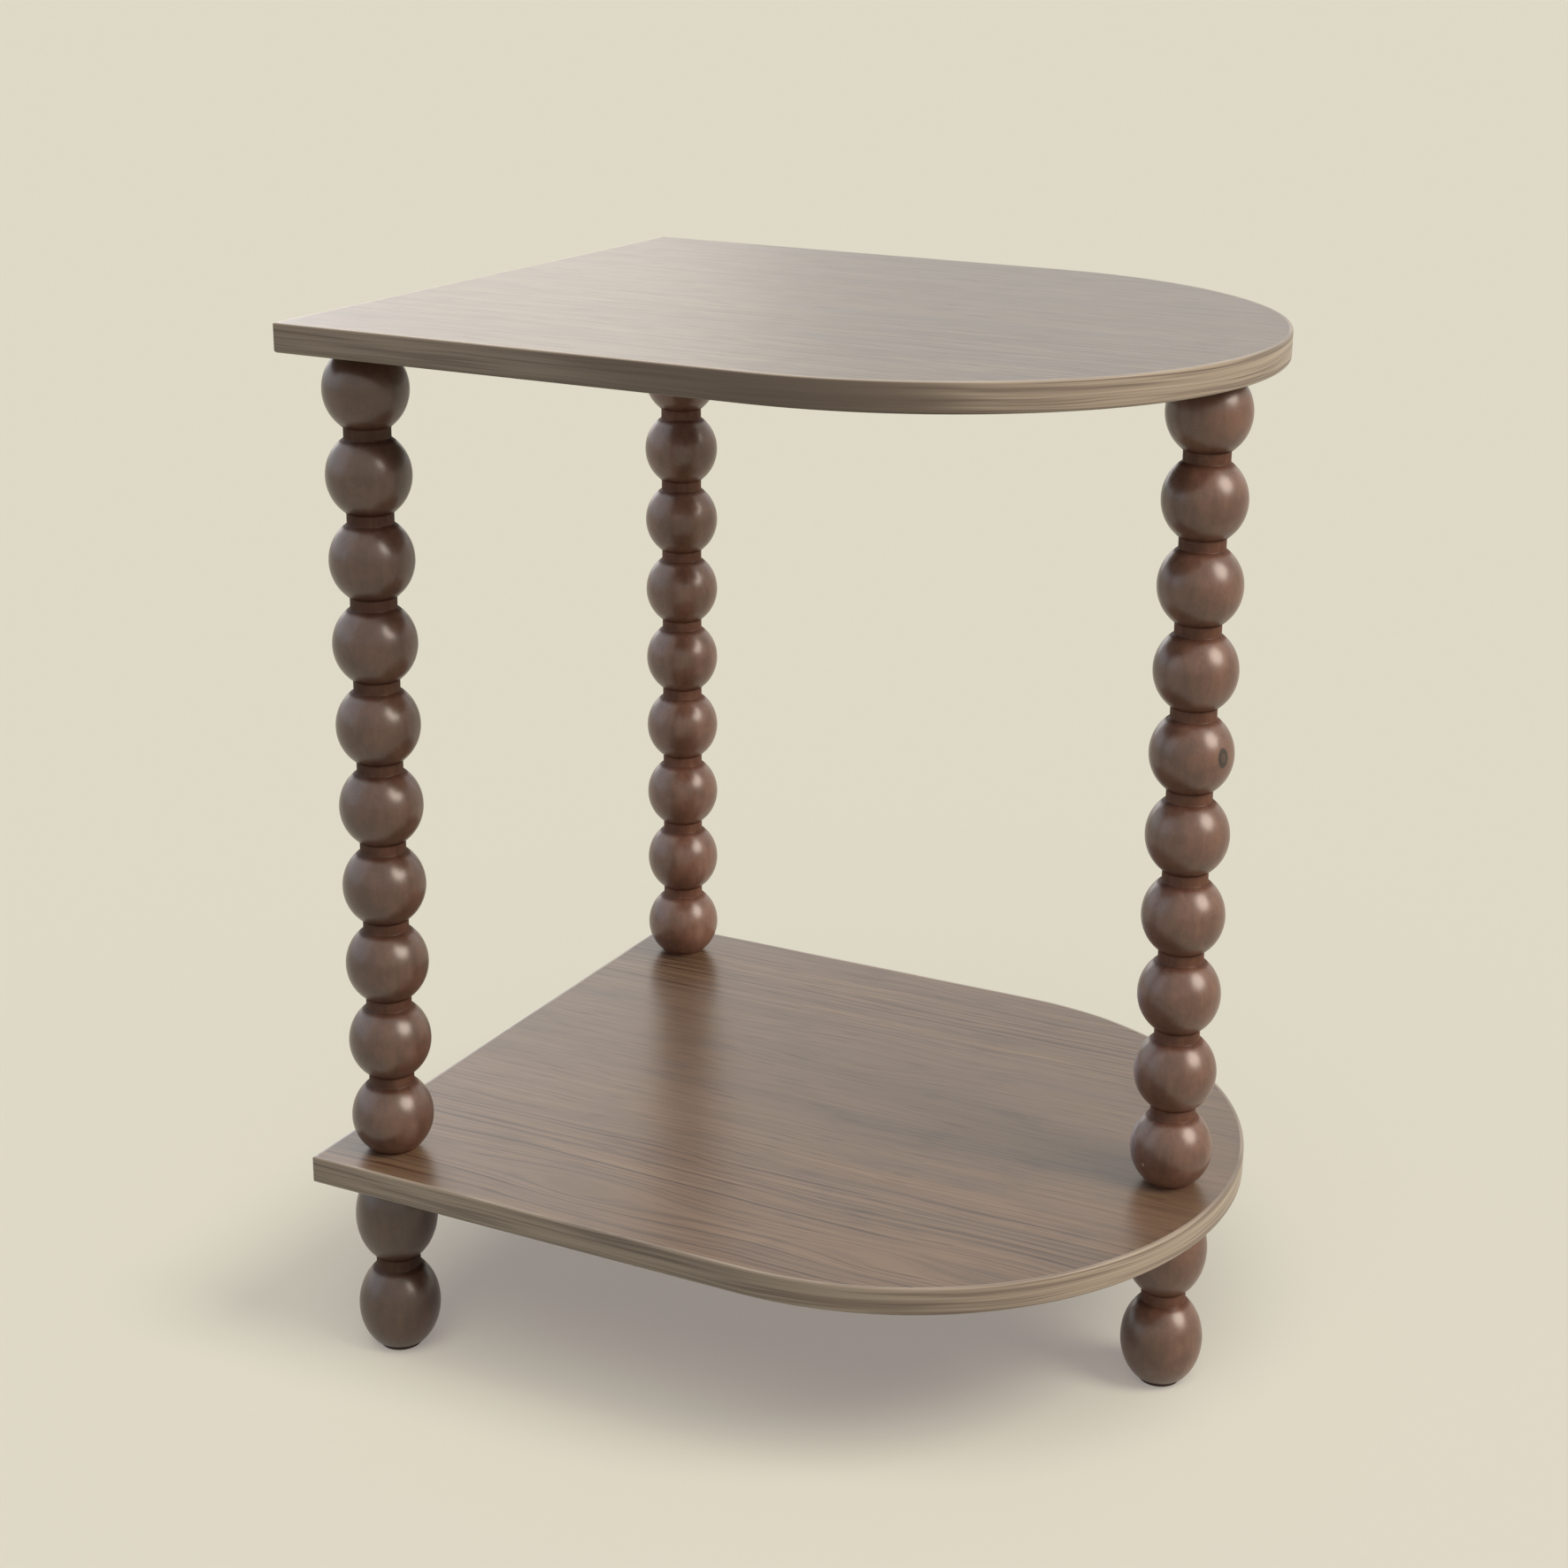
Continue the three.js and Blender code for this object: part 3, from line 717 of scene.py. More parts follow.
# How the outline of a post is worked out at each of its points. A row is a name, a step and the parts of the
# step, which are inputs of the tree, names of earlier rows or plain numbers
POST_SUMS = (
    # The bead is a stretched ball. Its true ends are at the neck radius, and the fillets start just before
    ("neck share", "DIVIDE", "Neck Radius", "Bead Radius"),
    ("end angle", "ARCCOSINE", "neck share"),
    ("fillet radius", "ADD", "Neck Radius", "Fillet Rise"),
    ("fillet share", "DIVIDE", "fillet radius", "Bead Radius"),
    ("cut angle", "ARCCOSINE", "fillet share"),
    ("bead length", "SUBTRACT", "Bead Pitch", "Collar Height"),
    ("half bead", "DIVIDE", "bead length", 2),
    ("end sine", "SINE", "end angle"),
    ("half axis", "DIVIDE", "half bead", "end sine"),
    ("cut sine", "SINE", "cut angle"),
    ("half cut", "MULTIPLY", "half axis", "cut sine"),
    ("cut length", "MULTIPLY", "half cut", 2),
    ("gap", "SUBTRACT", "Bead Pitch", "cut length"),

    # Which bead a point belongs to, and which step of that bead and its collar it is
    ("ring", "SUBTRACT", "index", 2),
    ("period", "ADD", "Bead Steps", "Collar Steps"),
    ("ring share", "DIVIDE", "ring", "period"),
    ("bead", "FLOOR", "ring share"),
    ("before", "MULTIPLY", "bead", "period"),
    ("step", "SUBTRACT", "ring", "before"),
    ("on bead", "BELOW", "step", "Bead Steps"),

    # Height from the middle of the bead, and radius, on the bead
    ("last step", "SUBTRACT", "Bead Steps", 1),
    ("bead share", "DIVIDE", "step", "last step"),
    ("turn", "MULTIPLY_ADD", "bead share", 2, -1),
    ("angle", "MULTIPLY", "turn", "cut angle"),
    ("sine", "SINE", "angle"),
    ("cosine", "COSINE", "angle"),
    ("height on bead", "MULTIPLY", "half axis", "sine"),
    ("radius on bead", "MULTIPLY", "Bead Radius", "cosine"),

    # The same on the collar, whose steps crowd into the two fillets
    ("past", "SUBTRACT", "step", "last step"),
    ("steps", "ADD", "Collar Steps", 1),
    ("even share", "DIVIDE", "past", "steps"),
    ("half turn", "MULTIPLY", "even share", pi),
    ("crowded", "COSINE", "half turn"),
    ("collar share", "MULTIPLY_ADD", "crowded", -0.5, 0.5),
    ("height on collar", "MULTIPLY_ADD", "gap", "collar share", "half cut"),
    ("other share", "SUBTRACT", 1, "collar share"),
    ("edge share", "MINIMUM", "collar share", "other share"),
    ("edge distance", "MULTIPLY", "edge share", "gap"),
    ("fillet length", "MULTIPLY", "Fillet Rise", FILLET_STRETCH),
    ("run", "DIVIDE", "edge distance", "fillet length"),
    ("rest", "REST", 1, "run"),
    ("curve", "MULTIPLY", "rest", "rest"),
    ("radius on collar", "MULTIPLY_ADD", "curve", "Fillet Rise", "Neck Radius"),

    # Both together, from the foot of the post to its top
    ("from middle", "CHOICE", "on bead", "height on collar", "height on bead"),
    ("turned radius", "CHOICE", "on bead", "radius on collar", "radius on bead"),
    ("first middle", "ADD", "Seat Height", "half bead"),
    ("middle", "MULTIPLY_ADD", "bead", "Bead Pitch", "first middle"),
    ("turned height", "ADD", "middle", "from middle"),
    ("all pitches", "MULTIPLY", "Bead Count", "Bead Pitch"),
    ("turned length", "SUBTRACT", "all pitches", "Collar Height"),
    ("post height", "MULTIPLY_ADD", "Seat Height", 2, "turned length"),

    # The first two points and the last two are the flat seats
    ("all periods", "MULTIPLY", "Bead Count", "period"),
    ("turned points", "SUBTRACT", "all periods", "Collar Steps"),
    ("points", "ADD", "turned points", 4),
    ("last", "SUBTRACT", "points", 1),
    ("to last", "SUBTRACT", "last", "index"),
    ("end step", "MINIMUM", "index", "to last"),
    ("on seat", "BELOW", "end step", 2),
    ("lower half", "BELOW", "index", "to last"),
    ("from end", "MULTIPLY", "end step", "Seat Height"),
    ("from top", "SUBTRACT", "post height", "from end"),
    ("seat place", "CHOICE", "lower half", "from top", "from end"),
    ("height", "CHOICE", "on seat", "turned height", "seat place"),
    ("radius", "CHOICE", "on seat", "turned radius", "Neck Radius"),
)


def beaded_post_tree():
    """A post as one curve with as many points as its outline, each with its height and its radius."""
    sockets = dict.fromkeys(POST_INPUTS, "NodeSocketFloat")
    sockets.update(dict.fromkeys(POST_COUNTS, "NodeSocketInt"))
    tree, parts = new_tree("Beaded post", {**sockets, "Finish": "NodeSocketMaterial"})
    parts["index"] = add(tree, "GeometryNodeInputIndex")
    for name, step, *names in POST_SUMS:
        kind, settings = STEPS.get(step, (MATH, {"operation": step}))
        parts[name] = add(tree, kind, [parts.get(part, part) for part in names], **settings)

    axis = add(tree, "GeometryNodeCurvePrimitiveLine", {"End": (0, 0, 1)})
    axis = add(tree, "GeometryNodeResampleCurve", {"Curve": axis, "Count": parts["points"]}, mode="COUNT")
    place = add(tree, "ShaderNodeCombineXYZ", [0, 0, parts["height"]])
    axis = add(tree, "GeometryNodeSetPosition", {"Geometry": axis, "Position": place})
    circle = add(tree, "GeometryNodeCurvePrimitiveCircle", {"Resolution": parts["Sides"], "Radius": 1})
    turned = {"Curve": axis, "Profile Curve": circle, "Scale": parts["radius"], "Fill Caps": True}
    wood = add(tree, "GeometryNodeCurveToMesh", turned)

    # The stepped hole for the insert at the foot, and the bolt's hole at the top
    cutters = []
    for hole in ("Insert", "Flange", "Bolt"):
        depth = add(tree, MATH, [parts[f"{hole} Hole Depth"], 2], operation="MULTIPLY")
        round_cut = {"Vertices": HOLE_SIDES, "Radius": parts[f"{hole} Hole Radius"], "Depth": depth}
        cutter = add(tree, "GeometryNodeMeshCylinder", round_cut)
        lift = add(tree, "ShaderNodeCombineXYZ", [0, 0, parts["post height"] if hole == "Bolt" else 0.0])
        cutters.append(add(tree, "GeometryNodeTransform", {"Geometry": cutter, "Translation": lift}))
    bored = tree.nodes.new("GeometryNodeMeshBoolean")
    bored.operation = "DIFFERENCE"
    bored.solver = "EXACT"
    tree.links.new(wood, bored.inputs["Mesh 1"])
    for cutter in cutters:
        tree.links.new(cutter, bored.inputs["Mesh 2"])
    close_tree(tree, bored.outputs["Mesh"], parts["Finish"])
    return tree


# Past this a corner of the section isn't on the path, and closer than this two points are one
OFF_CORNER = 0.5 * MM
SAME_PLACE = 0.001 * MM


# How far the end of a strip is drawn in at each point of the sweep, and where the point goes. The rows are as
# those of the post
END_SUMS = (
    ("to end", "SUBTRACT", "whole", "along"),
    ("from end", "MINIMUM", "along", "to end"),
    *(
        row
        for name in ("Face Radius", "Underside Radius", "Corner Radius")
        for row in (
            ("short", "SUBTRACT", name, "from end"),
            ("short", "MAXIMUM", "short", 0),
            ("short square", "MULTIPLY", "short", "short"),
            ("square", "MULTIPLY", name, name),
            ("left", "SUBTRACT", "square", "short square"),
            ("left", "SQRT", "left"),
            (f"{name} drawn in", "SUBTRACT", name, "left"),
        )
    ),
    ("spot height", "MULTIPLY", "spot down", -1),
    ("highest", "SUBTRACT", "Height", "Face Radius drawn in"),
    ("deepest", "SUBTRACT", "Thickness", "Corner Radius drawn in"),
    ("over", "SUBTRACT", "spot depth", "deepest"),
    ("over", "MAXIMUM", "over", 0),
    ("side", "SIGN", "across"),
    ("inwards", "MULTIPLY", "over", "side"),
    ("inwards", "MULTIPLY", "inwards", -1),
)


def edging_tree():
    """A strip swept along the edge of a board. Its UV map runs along the strip and up it, in metres."""
    sizes = ("Thickness", "Height", "Face Radius", "Underside Radius", "Corner Radius")
    sockets = {
        "Path": "NodeSocketGeometry",
        **dict.fromkeys(sizes, "NodeSocketFloat"),
        "Rounding Steps": "NodeSocketInt",
        "Shaped Ends": "NodeSocketBool",
        "Finish": "NodeSocketMaterial",
    }
    tree, size = new_tree("Edging strip", sockets)

    # The section: a thin upright with its two outer corners rounded, its inner side on the path. The sweep
    # turns it upside down, so its height is measured downwards
    section = {"Width": size["Thickness"], "Height": size["Height"]}
    section = add(tree, "GeometryNodeCurvePrimitiveQuadrilateral", section, mode="RECTANGLE")
    size_back = add(tree, MATH, [size["Height"], -1], operation="MULTIPLY")
    half_size = add(tree, "ShaderNodeCombineXYZ", [size["Thickness"], size_back, 0])
    half_size = add(tree, VECTOR, {0: half_size, "Scale": 0.5}, operation="SCALE")
    section = add(tree, "GeometryNodeSetPosition", {"Geometry": section, "Offset": half_size})
    corner = add(tree, "GeometryNodeInputPosition")
    depth = add(tree, "ShaderNodeSeparateXYZ", [corner], out="X")
    size.update({"depth": depth, "down": depth.node.outputs["Y"]})
    for name, step, *names in (
        ("outer", "ABOVE", "depth", OFF_CORNER),
        ("upper", "BELOW", "down", -OFF_CORNER),
        ("rounding", "CHOICE", "upper", "Underside Radius", "Face Radius"),
        ("rounding", "CHOICE", "outer", 0.0, "rounding"),
    ):
        kind, settings = STEPS[step]
        size[name] = add(tree, kind, [size.get(part, part) for part in names], **settings)
    rounded = {"Curve": section, "Count": size["Rounding Steps"], "Radius": size["rounding"]}
    section = add(tree, "GeometryNodeFilletCurve", rounded, mode="POLY")

    # What each point of the sweep keeps: how far along the strip it is, and where on the section
    path = add(tree, "GeometryNodeMeshToCurve", [size["Path"]])
    keep_path = tree.nodes.new("GeometryNodeCaptureAttribute")
    keep_section = tree.nodes.new("GeometryNodeCaptureAttribute")
    for name in ("Along", "Whole"):
        keep_path.capture_items.new("FLOAT", name)
    keep_section.capture_items.new("VECTOR", "Spot")
    tree.links.new(path, keep_path.inputs["Geometry"])
    tree.links.new(add(tree, "GeometryNodeSplineParameter", out="Length"), keep_path.inputs["Along"])
    tree.links.new(add(tree, "GeometryNodeSplineLength"), keep_path.inputs["Whole"])
    tree.links.new(section, keep_section.inputs["Geometry"])
    tree.links.new(add(tree, "GeometryNodeInputPosition"), keep_section.inputs["Spot"])
    swept = {"Curve": keep_path.outputs["Geometry"], "Profile Curve": keep_section.outputs["Geometry"]}
    strip = add(tree, "GeometryNodeCurveToMesh", {**swept, "Scale": 1, "Fill Caps": True})
    strip = add(tree, "GeometryNodeMergeByDistance", {"Geometry": strip, "Distance": SAME_PLACE})

    # Near its ends the strip is drawn in like the rounded edge of the strip that it meets there
    spot = add(tree, "ShaderNodeSeparateXYZ", [keep_section.outputs["Spot"]], out="X")
    world = add(tree, "GeometryNodeInputPosition")
    size.update({
        "along": keep_path.outputs["Along"],
        "whole": keep_path.outputs["Whole"],
        "spot depth": spot,
        "spot down": spot.node.outputs["Y"],
        "across": add(tree, "ShaderNodeSeparateXYZ", [world], out="Y"),
    })
    for name, step, *names in END_SUMS:
        size[name] = add(tree, MATH, [size.get(part, part) for part in names], operation=step)
    limits = [size["spot height"], size["Underside Radius drawn in"], size["highest"]]
    new_height = add(tree, "ShaderNodeClamp", limits)
    lift = add(tree, MATH, [new_height, size["spot height"]], operation="SUBTRACT")
    shift = add(tree, "ShaderNodeCombineXYZ", [0, size["inwards"], lift])
    drawn = {"Geometry": strip, "Selection": size["Shaped Ends"], "Offset": shift}
    shaped = add(tree, "GeometryNodeSetPosition", drawn)
    flat_map = add(tree, "ShaderNodeCombineXYZ", [size["along"], size["spot height"], 0])
    mapped = {"Geometry": shaped, "Name": "UVMap", "Value": flat_map}
    mapped = add(tree, "GeometryNodeStoreNamedAttribute", mapped, data_type="FLOAT2", domain="CORNER")
    close_tree(tree, mapped, size["Finish"])
    return tree


def polyline(name, places):
    """A mesh of one open chain of points, the path that a strip follows."""
    mesh = bpy.data.meshes.new(name)
    mesh.from_pydata(places, [(step, step + 1) for step in range(len(places) - 1)], [])
    return mesh


def spread(start, stop, steps):
    """Even steps from one value to another, with both of them."""
    return [start + (stop - start) * step / steps for step in range(steps + 1)]


def side_path(settings, base):
    """The core's edge along the front, round the end and along the back, with close points at both ends."""
    core = TOP_HIGH.y
    start = STRIP_LOW.x
    middle = STRIP_HIGH.x - STRIP_HIGH.y
    largest = max(settings.underside_radius, settings.face_radius, settings.corner_radius)
    steps = 2 * ROUNDING_STEPS
    ends = [largest * (1 - cos(pi / 2 * step / steps)) for step in range(steps + 1)]
    front = [(start + run, -core, base) for run in ends]
    turns = spread(0, pi, settings.round_steps)
    round_end = [(middle + core * sin(turn), -core * cos(turn), base) for turn in turns]
    back = [(start + run, core, base) for run in reversed(ends)]
    return front + round_end + back


def revolve(name, profile, foot):
    """A turned solid from an outline of [radius, height] that starts and ends on the axis, bottom first."""
    made = bmesh.new()
    rings = []
    for radius, height in profile:
        count = TURNED_SIDES if radius > 0 else 1
        turns = [2 * pi * side / TURNED_SIDES for side in range(count)]
        places = [Vector((radius * cos(turn), radius * sin(turn), height)) for turn in turns]
        rings.append([made.verts.new(foot + place) for place in places])
    for lower, upper in zip(rings, rings[1:]):
        for side in range(TURNED_SIDES):
            after = (side + 1) % TURNED_SIDES
            below = [lower[side % len(lower)], lower[after % len(lower)]]
            above = [upper[after % len(upper)], upper[side % len(upper)]]
            distinct = list(dict.fromkeys(below + above))
            if len(distinct) > 2:
                made.faces.new(distinct)
    mesh = bpy.data.meshes.new(name)
    made.to_mesh(mesh)
    made.free()
    mesh.shade_smooth()
    mesh.set_sharp_from_angle(angle=CREASE_ANGLE)
    piece = bpy.data.objects.new(name, mesh)
    bpy.context.scene.collection.objects.link(piece)
    return piece


def arc(centre, radius, start, stop, steps):
    """Points [radius, height] round a circle, with angles in radians from straight out towards up."""
    angles = spread(start, stop, steps)
    return [(centre[0] + radius * cos(angle), centre[1] + radius * sin(angle)) for angle in angles]


def bead_outline(radius, bead_length, lower_radius, upper_radius, lower_cut, upper_cut, base):
    """Points of one bead of a foot. It is sized to its true end radii and drawn between the cut radii."""
    lower_angle, upper_angle = acos(lower_radius / radius), acos(upper_radius / radius)
    half_axis = bead_length / (sin(lower_angle) + sin(upper_angle))
    middle = base + half_axis * sin(lower_angle)
    angles = spread(-acos(lower_cut / radius), acos(upper_cut / radius), BEAD_POINTS - 1)
    return [(radius * cos(angle), middle + half_axis * sin(angle)) for angle in angles]


def collar_outline(neck, rise, low, high):
    """Points of a collar with its two lacquer fillets, between the heights where the beads leave off."""
    points = []
    for step in range(1, COLLAR_POINTS + 1):
        run = (high - low) * (0.5 - 0.5 * cos(pi * step / (COLLAR_POINTS + 1)))
        edge = min(run, high - low - run)
        rest = max(0, 1 - edge / (rise * FILLET_STRETCH))
        points.append((neck + rise * rest**2, low + run))
    return points


class SIDETABLE_OT_boards(bpy.types.Operator):
    """Give the top and the shelf their printed walnut faces"""
    bl_idname = "side_table.boards"
    bl_label = "Finish the boards"

    def execute(self, context):
        for board in BOARDS:
            NODES[f"{board}_board"].data.materials.clear()
            NODES[f"{board}_board"].data.materials.append(melamine(board, context.scene.side_table_boards))
        return {"FINISHED"}


class SIDETABLE_OT_edging(bpy.types.Operator):
    """Sweep the two strips of edging round each board"""
    bl_idname = "side_table.edging"
    bl_label = "Make the edging"

    def execute(self, context):
        settings = context.scene.side_table_edging
        tree = edging_tree()
        sizes = {
            "Thickness": settings.thickness,
            "Height": TOP_HIGH.z - TOP_LOW.z,
            "Face Radius": settings.face_radius,
            "Underside Radius": settings.underside_radius,
            "Corner Radius": settings.corner_radius,
            "Rounding Steps": ROUNDING_STEPS,
        }
        for board in BOARDS:
            sizes["Finish"] = edging_strip(board, settings)
            low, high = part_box(f"{board}_board")
            paths = {
                "side": side_path(settings, low.z),
                "end": [(low.x, high.y, low.z), (low.x, low.y, low.z)],
            }
            for place, path in paths.items():
                name = f"{board}_{place}_edging"
                piece = grow(name, tree, {**sizes, "Shaped Ends": place == "side"}, polyline(name, path))
                take_place(piece, "edging", f"{board}_{place}_band")
        return {"FINISHED"}


class SIDETABLE_OT_posts(bpy.types.Operator):
    """Turn the three beaded posts"""
    bl_idname = "side_table.posts"
    bl_label = "Make the posts"

    def execute(self, context):
        settings = context.scene.side_table_legs
        tree = beaded_post_tree()
        height = POST_HIGH.z - POST_LOW.z
        turned_length = height - 2 * settings.seat_height + settings.collar_height
        insert_radius = (INSERT_HIGH.x - INSERT_LOW.x) / 2
        sizes = {
            "Bead Count": settings.bead_count,
            "Bead Pitch": turned_length / settings.bead_count,
            "Bead Radius": settings.bead_diameter / 2,
            "Neck Radius": settings.neck_diameter / 2,
            "Collar Height": settings.collar_height,
            "Seat Height": settings.seat_height,
            "Fillet Rise": settings.fillet_rise,
            "Bead Steps": BEAD_POINTS,
            "Collar Steps": COLLAR_POINTS,
            "Sides": TURNED_SIDES,
            "Insert Hole Radius": insert_radius - settings.flange_rim + settings.hole_gap,
            "Insert Hole Depth": INSERT_HIGH.z - INSERT_LOW.z + settings.hole_end_gap,
            "Flange Hole Radius": insert_radius + settings.hole_gap,
            "Flange Hole Depth": settings.flange_thickness + settings.hole_gap / 2,
            "Bolt Hole Radius": (BOLT_HIGH.x - BOLT_LOW.x) / 2 + settings.hole_gap,
            "Bolt Hole Depth": POST_HIGH.z - BOLT_LOW.z + settings.hole_end_gap,
            "Finish": lacquered_wood("post", LEGS[0], settings),
        }
        pattern = grow("beaded_post", tree, sizes, bpy.data.meshes.new("beaded_post"))
        for leg in LEGS:
            mesh = pattern.data.copy()
            if leg != LEGS[0]:
                mesh.materials[0] = lacquered_wood("post", leg, settings)
            mesh.transform(Matrix.Translation(leg_axis(leg) + Vector((0, 0, POST_LOW.z))))
            piece = bpy.data.objects.new(f"beaded_post_{leg}", mesh)
            context.scene.collection.objects.link(piece)
            take_place(piece, "turned_wood", f"post_{leg}")
        bpy.data.objects.remove(pattern)
        return {"FINISHED"}


class SIDETABLE_OT_feet(bpy.types.Operator):
    """Turn the three feet and mould the pads under them"""
    bl_idname = "side_table.feet"
    bl_label = "Make the feet"

    def execute(self, context):
        settings = context.scene.side_table_legs
        neck = settings.neck_diameter / 2
        radius = settings.foot_bead_diameter / 2
        sole = settings.sole_diameter / 2
        height = FOOT_HIGH.z - FOOT_LOW.z
        cut = neck + settings.fillet_rise
        upper_base = settings.lower_bead_length + settings.foot_collar_height
        sole_cut = sole + settings.sole_radius
        lower = bead_outline(radius, settings.lower_bead_length, sole, neck, sole_cut, cut, 0)
        upper = bead_outline(radius, height - upper_base, neck, neck, cut, neck, upper_base)
        collar = collar_outline(neck, settings.fillet_rise, lower[-1][1], upper[0][1])
        hole = (BOLT_HIGH.x - BOLT_LOW.x) / 2 + settings.hole_gap
        bolt_low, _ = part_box("shelf_bolt_front")
        hole_end = bolt_low.z - FOOT_LOW.z - settings.hole_end_gap
        sole_edge = (sole - settings.sole_radius / 2, 0)
        bore = [(hole, height), (hole, hole_end), (0, hole_end)]
        outline = [(0, 0), sole_edge, *lower, *collar, *upper, *bore]

        pad = (PAD_HIGH.x - PAD_LOW.x) / 2
        edge = settings.pad_radius
        pad_edge = arc((pad - edge, edge), edge, -pi / 2, 0, PAD_EDGE_STEPS)
        pad_height = PAD_HIGH.z - PAD_LOW.z
        pad_outline = [(0, 0), *pad_edge, (pad, pad_height), (0, pad_height)]

        rubber = moulded_rubber()
        for leg in LEGS:
            wood = lacquered_wood("foot", leg, settings)
            for name, points, low, material, slot, node in (
                (f"turned_foot_{leg}", outline, FOOT_LOW, wood, "turned_wood", f"foot_{leg}"),
                (f"rubber_pad_{leg}", pad_outline, PAD_LOW, rubber, "pad", f"foot_pad_{leg}"),
            ):
                piece = revolve(name, points, leg_axis(leg) + Vector((0, 0, low.z)))
                piece.data.materials.append(material)
                take_place(piece, slot, node)
        return {"FINISHED"}


class SIDETABLE_OT_fasteners(bpy.types.Operator):
    """Give the bolts and threaded inserts their metals"""
    bl_idname = "side_table.fasteners"
    bl_label = "Finish the fasteners"

    def execute(self, context):
        metals = {
            "insert": turned_metal("Turned brass", "#d6b264", 0.3),
            "bolt": turned_metal("Zinc-plated steel", "#c3c7cb", 0.32),
        }
        for leg in LEGS:
            for name in ("post_insert", "top_insert", "shelf_bolt", "top_bolt"):
                node = NODES[f"{name}_{leg}"]
                node.data.materials.clear()
                node.data.materials.append(metals[name.split("_")[1]])
        return {"FINISHED"}


def seen_ray(tree):
    """One for a ray that the camera sends, or that a glossy or clear surface sends on, and zero for light."""
    ray = add(tree, "ShaderNodeLightPath", out="Is Camera Ray")
    seen = add(tree, MATH, [ray, ray.node.outputs["Is Glossy Ray"]], operation="MAXIMUM")
    return add(tree, MATH, [seen, ray.node.outputs["Is Transmission Ray"]], operation="MAXIMUM")


# Half the width of the floor in metres
FLOOR_HALF = 30

# The camera, solved from the places of the beads in the photograph: where it stands in metres, how it turns,
# looks down and leans in radians, and how far the picture is shifted, as shares of its width
CAMERA_PLACE = (0.6108, -1.2518, 0.7873)
CAMERA_TURN = -0.4486
CAMERA_DOWN = 0.29154
CAMERA_LEAN = 0.01576
SHIFT_SHARES = (-0.0512, -0.0666)
SENSOR_WIDTH_IN_MM = 36


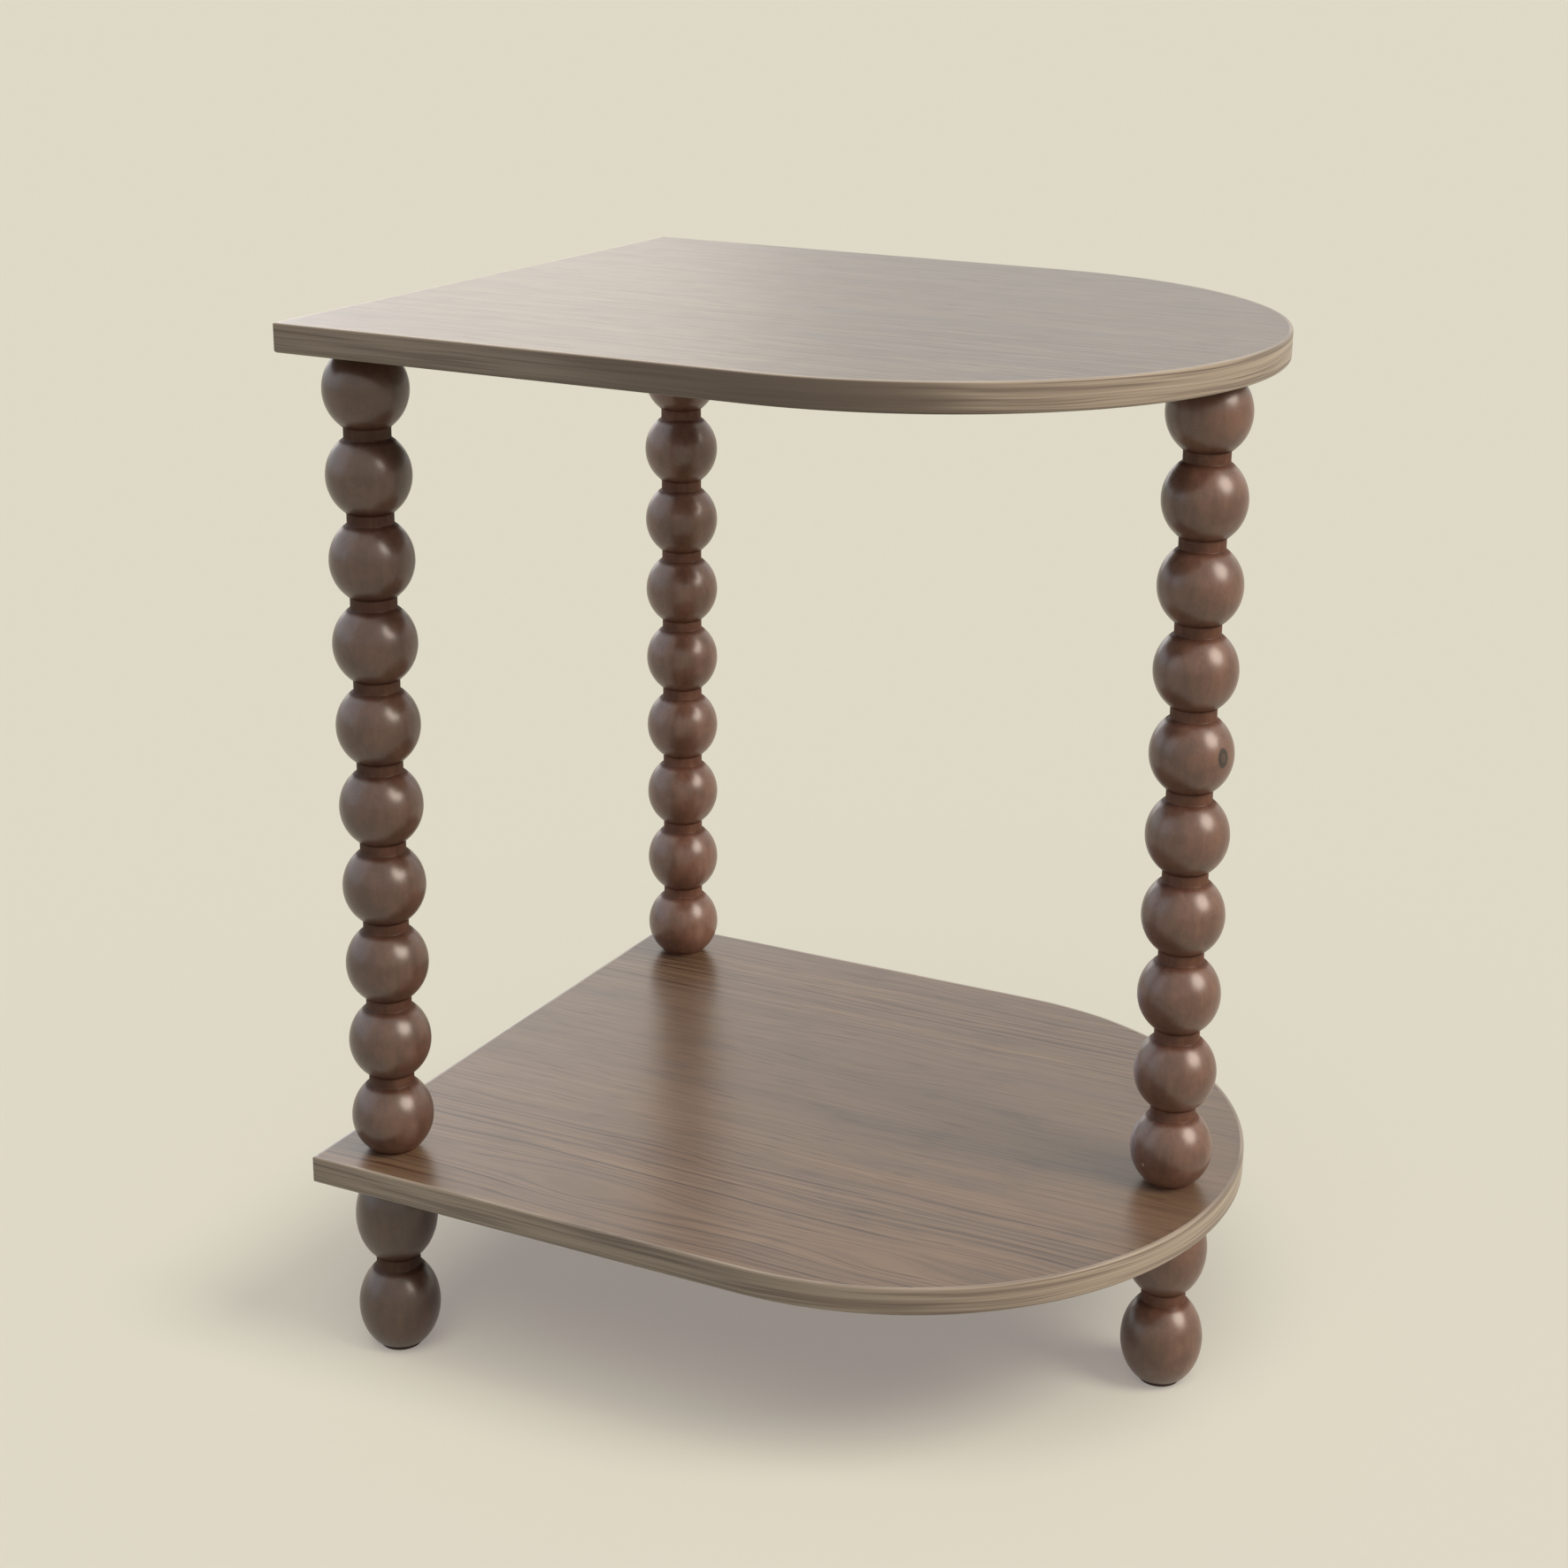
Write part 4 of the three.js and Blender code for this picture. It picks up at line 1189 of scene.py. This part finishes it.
class SIDETABLE_OT_stage(bpy.types.Operator):
    """Make the floor, the backdrop, the lights and the camera"""
    bl_idname = "side_table.stage"
    bl_label = "Make the stage"

    def execute(self, context):
        settings = context.scene.side_table_stage
        scene = context.scene
        scene.view_settings.view_transform = "Standard"
        backdrop = opaque(settings.backdrop)

        # The floor: plain painted board, so wide that its far edge is out of sight
        floor_mesh = bpy.data.meshes.new("studio_floor")
        ways = ((-1, -1), (1, -1), (1, 1), (-1, 1))
        corners = [(FLOOR_HALF * x, FLOOR_HALF * y, 0) for x, y in ways]
        floor_mesh.from_pydata(corners, [], [(0, 1, 2, 3)])
        floor = bpy.data.objects.new("studio_floor", floor_mesh)
        scene.collection.objects.link(floor)
        material, tree, shader = finish("Plain pale paint")
        dim = opaque([settings.bounce * part for part in settings.backdrop])
        paint = add(tree, MIX, {0: seen_ray(tree), 6: dim, 7: backdrop}, **COLOURS)
        set_inputs(tree, shader, {"Base Color": paint, "Roughness": 0.9, "Specular IOR Level": 0})
        floor_mesh.materials.append(material)

        # The backdrop colour for what looks straight at it or mirrors it, and plain white light for the rest
        world = bpy.data.worlds.new("Studio")
        scene.world = world
        world.use_nodes = True
        tree = world.node_tree
        tree.nodes.clear()
        sky = {"Color": opaque(linear("#eef5ff")), "Strength": settings.sky}
        light = add(tree, "ShaderNodeBackground", sky)
        behind = add(tree, "ShaderNodeBackground", {"Color": backdrop, "Strength": 1})
        mixed = add(tree, "ShaderNodeMixShader", [seen_ray(tree), light, behind])
        add(tree, "ShaderNodeOutputWorld", [mixed])

        # Broad soft lights: the way each comes from, how strong it is, how wide it is seen in degrees, its
        # colour, the pieces that it leaves out or lights alone, and what stops it, where not all pieces do.
        # The side light leaves out the turned pieces, and the left light lights them alone. Of the floor's
        # three lights, two are stopped only by the shelf, the feet and the pads, and the last by nothing
        low = [piece for piece in bpy.data.objects if piece.name.startswith(LOW_PIECES)]
        turned = [piece for piece in bpy.data.objects if piece.name.startswith(TURNED_PIECES)]
        for name, way, energy, width, tint, state, pieces, casts in (
            ("key", (0.80, -0.02, 0.58), settings.key, 36, "#fff0e0", "EXCLUDE", [floor], None),
            ("dome", (0, 0, 1), settings.dome, 165, "#f2f4ff", "EXCLUDE", [floor], None),
            ("side", (-0.88, 0.47, 0.24), settings.side, 44, "#cfe0ff", "EXCLUDE", [floor, *turned], None),
            ("window", (-0.73, 0.68, 0.22), settings.window, 38, "#fff4e8", "EXCLUDE", [floor], None),
            ("left", (-1.0, 0, 0.3), settings.left, 110, "#cadeff", "INCLUDE", turned, None),
            ("back", (-0.35, 0.9, 0.35), settings.back, 80, "#d8e8ff", "EXCLUDE", [floor], None),
            ("floor", (0.9, 0, 1.0), settings.floor, 26, "#fffff3", "INCLUDE", [floor], low),
            ("floor_side", (0.15, -0.5, 1.0), settings.floor_side, 46, "#fffff3", "INCLUDE", [floor], low),
            ("floor_fill", (0, 0, 1), settings.floor_fill, 10, "#f3efff", "INCLUDE", [floor], []),
        ):
            lamp = bpy.data.lights.new(f"{name}_light", "SUN")
            lamp.energy = energy
            lamp.angle = radians(width)
            lamp.color = linear(tint)
            lamp.use_shadow = casts != []
            holder = bpy.data.objects.new(f"{name}_light", lamp)
            holder.rotation_mode = "QUATERNION"
            holder.rotation_quaternion = Vector(way).to_track_quat("Z", "Y")
            scene.collection.objects.link(holder)
            lit = bpy.data.collections.new(f"{name}_light_on")
            for piece in pieces:
                lit.objects.link(piece)
            for entry in lit.collection_objects:
                entry.light_linking.link_state = state
            holder.light_linking.receiver_collection = lit
            if casts:
                blockers = bpy.data.collections.new(f"{name}_light_stopped_by")
                for piece in casts:
                    blockers.objects.link(piece)
                holder.light_linking.blocker_collection = blockers

        # The camera looks ahead, and its right and its top lean against the level and the upright
        flat = cos(CAMERA_DOWN)
        ahead = Vector((sin(CAMERA_TURN) * flat, cos(CAMERA_TURN) * flat, -sin(CAMERA_DOWN)))
        level = ahead.cross(Vector((0, 0, 1))).normalized()
        up = level.cross(ahead)
        right = level * cos(CAMERA_LEAN) + up * sin(CAMERA_LEAN)
        top = up * cos(CAMERA_LEAN) - level * sin(CAMERA_LEAN)
        lens = bpy.data.cameras.new("camera")
        lens.lens = settings.focal_length
        lens.sensor_width = SENSOR_WIDTH_IN_MM
        lens.shift_x, lens.shift_y = SHIFT_SHARES
        camera = bpy.data.objects.new("camera", lens)
        turn = Matrix((right, top, -ahead)).transposed().to_4x4()
        camera.matrix_world = Matrix.Translation(CAMERA_PLACE) @ turn
        scene.collection.objects.link(camera)
        scene.camera = camera
        return {"FINISHED"}


class SIDETABLE_PT_pieces(bpy.types.Panel):
    """The operators that make the table, in order"""
    bl_idname = "SIDETABLE_PT_pieces"
    bl_label = "Side table"
    bl_space_type = "VIEW_3D"
    bl_region_type = "UI"
    bl_category = "Side table"

    def draw(self, context):
        for operator in OPERATORS:
            self.layout.operator(operator.bl_idname)
        for name in SETTINGS:
            box = self.layout.box()
            group = getattr(context.scene, name)
            for size in group.__annotations__:
                box.prop(group, size)


OPERATORS = (
    SIDETABLE_OT_boards,
    SIDETABLE_OT_edging,
    SIDETABLE_OT_posts,
    SIDETABLE_OT_feet,
    SIDETABLE_OT_fasteners,
    SIDETABLE_OT_stage,
)
SETTINGS = {
    "side_table_boards": SideTableBoards,
    "side_table_edging": SideTableEdging,
    "side_table_legs": SideTableLegs,
    "side_table_stage": SideTableStage,
}


def register():
    for group in (*SETTINGS.values(), *OPERATORS, SIDETABLE_PT_pieces):
        bpy.utils.register_class(group)
    for name, group in SETTINGS.items():
        setattr(bpy.types.Scene, name, PointerProperty(type=group))


def unregister():
    for name in SETTINGS:
        delattr(bpy.types.Scene, name)
    for group in reversed((*SETTINGS.values(), *OPERATORS, SIDETABLE_PT_pieces)):
        bpy.utils.unregister_class(group)


def main():
    register()
    for operator in OPERATORS:
        group, name = operator.bl_idname.split(".")
        getattr(getattr(bpy.ops, group), name)()


if __name__ == "__main__":
    main()
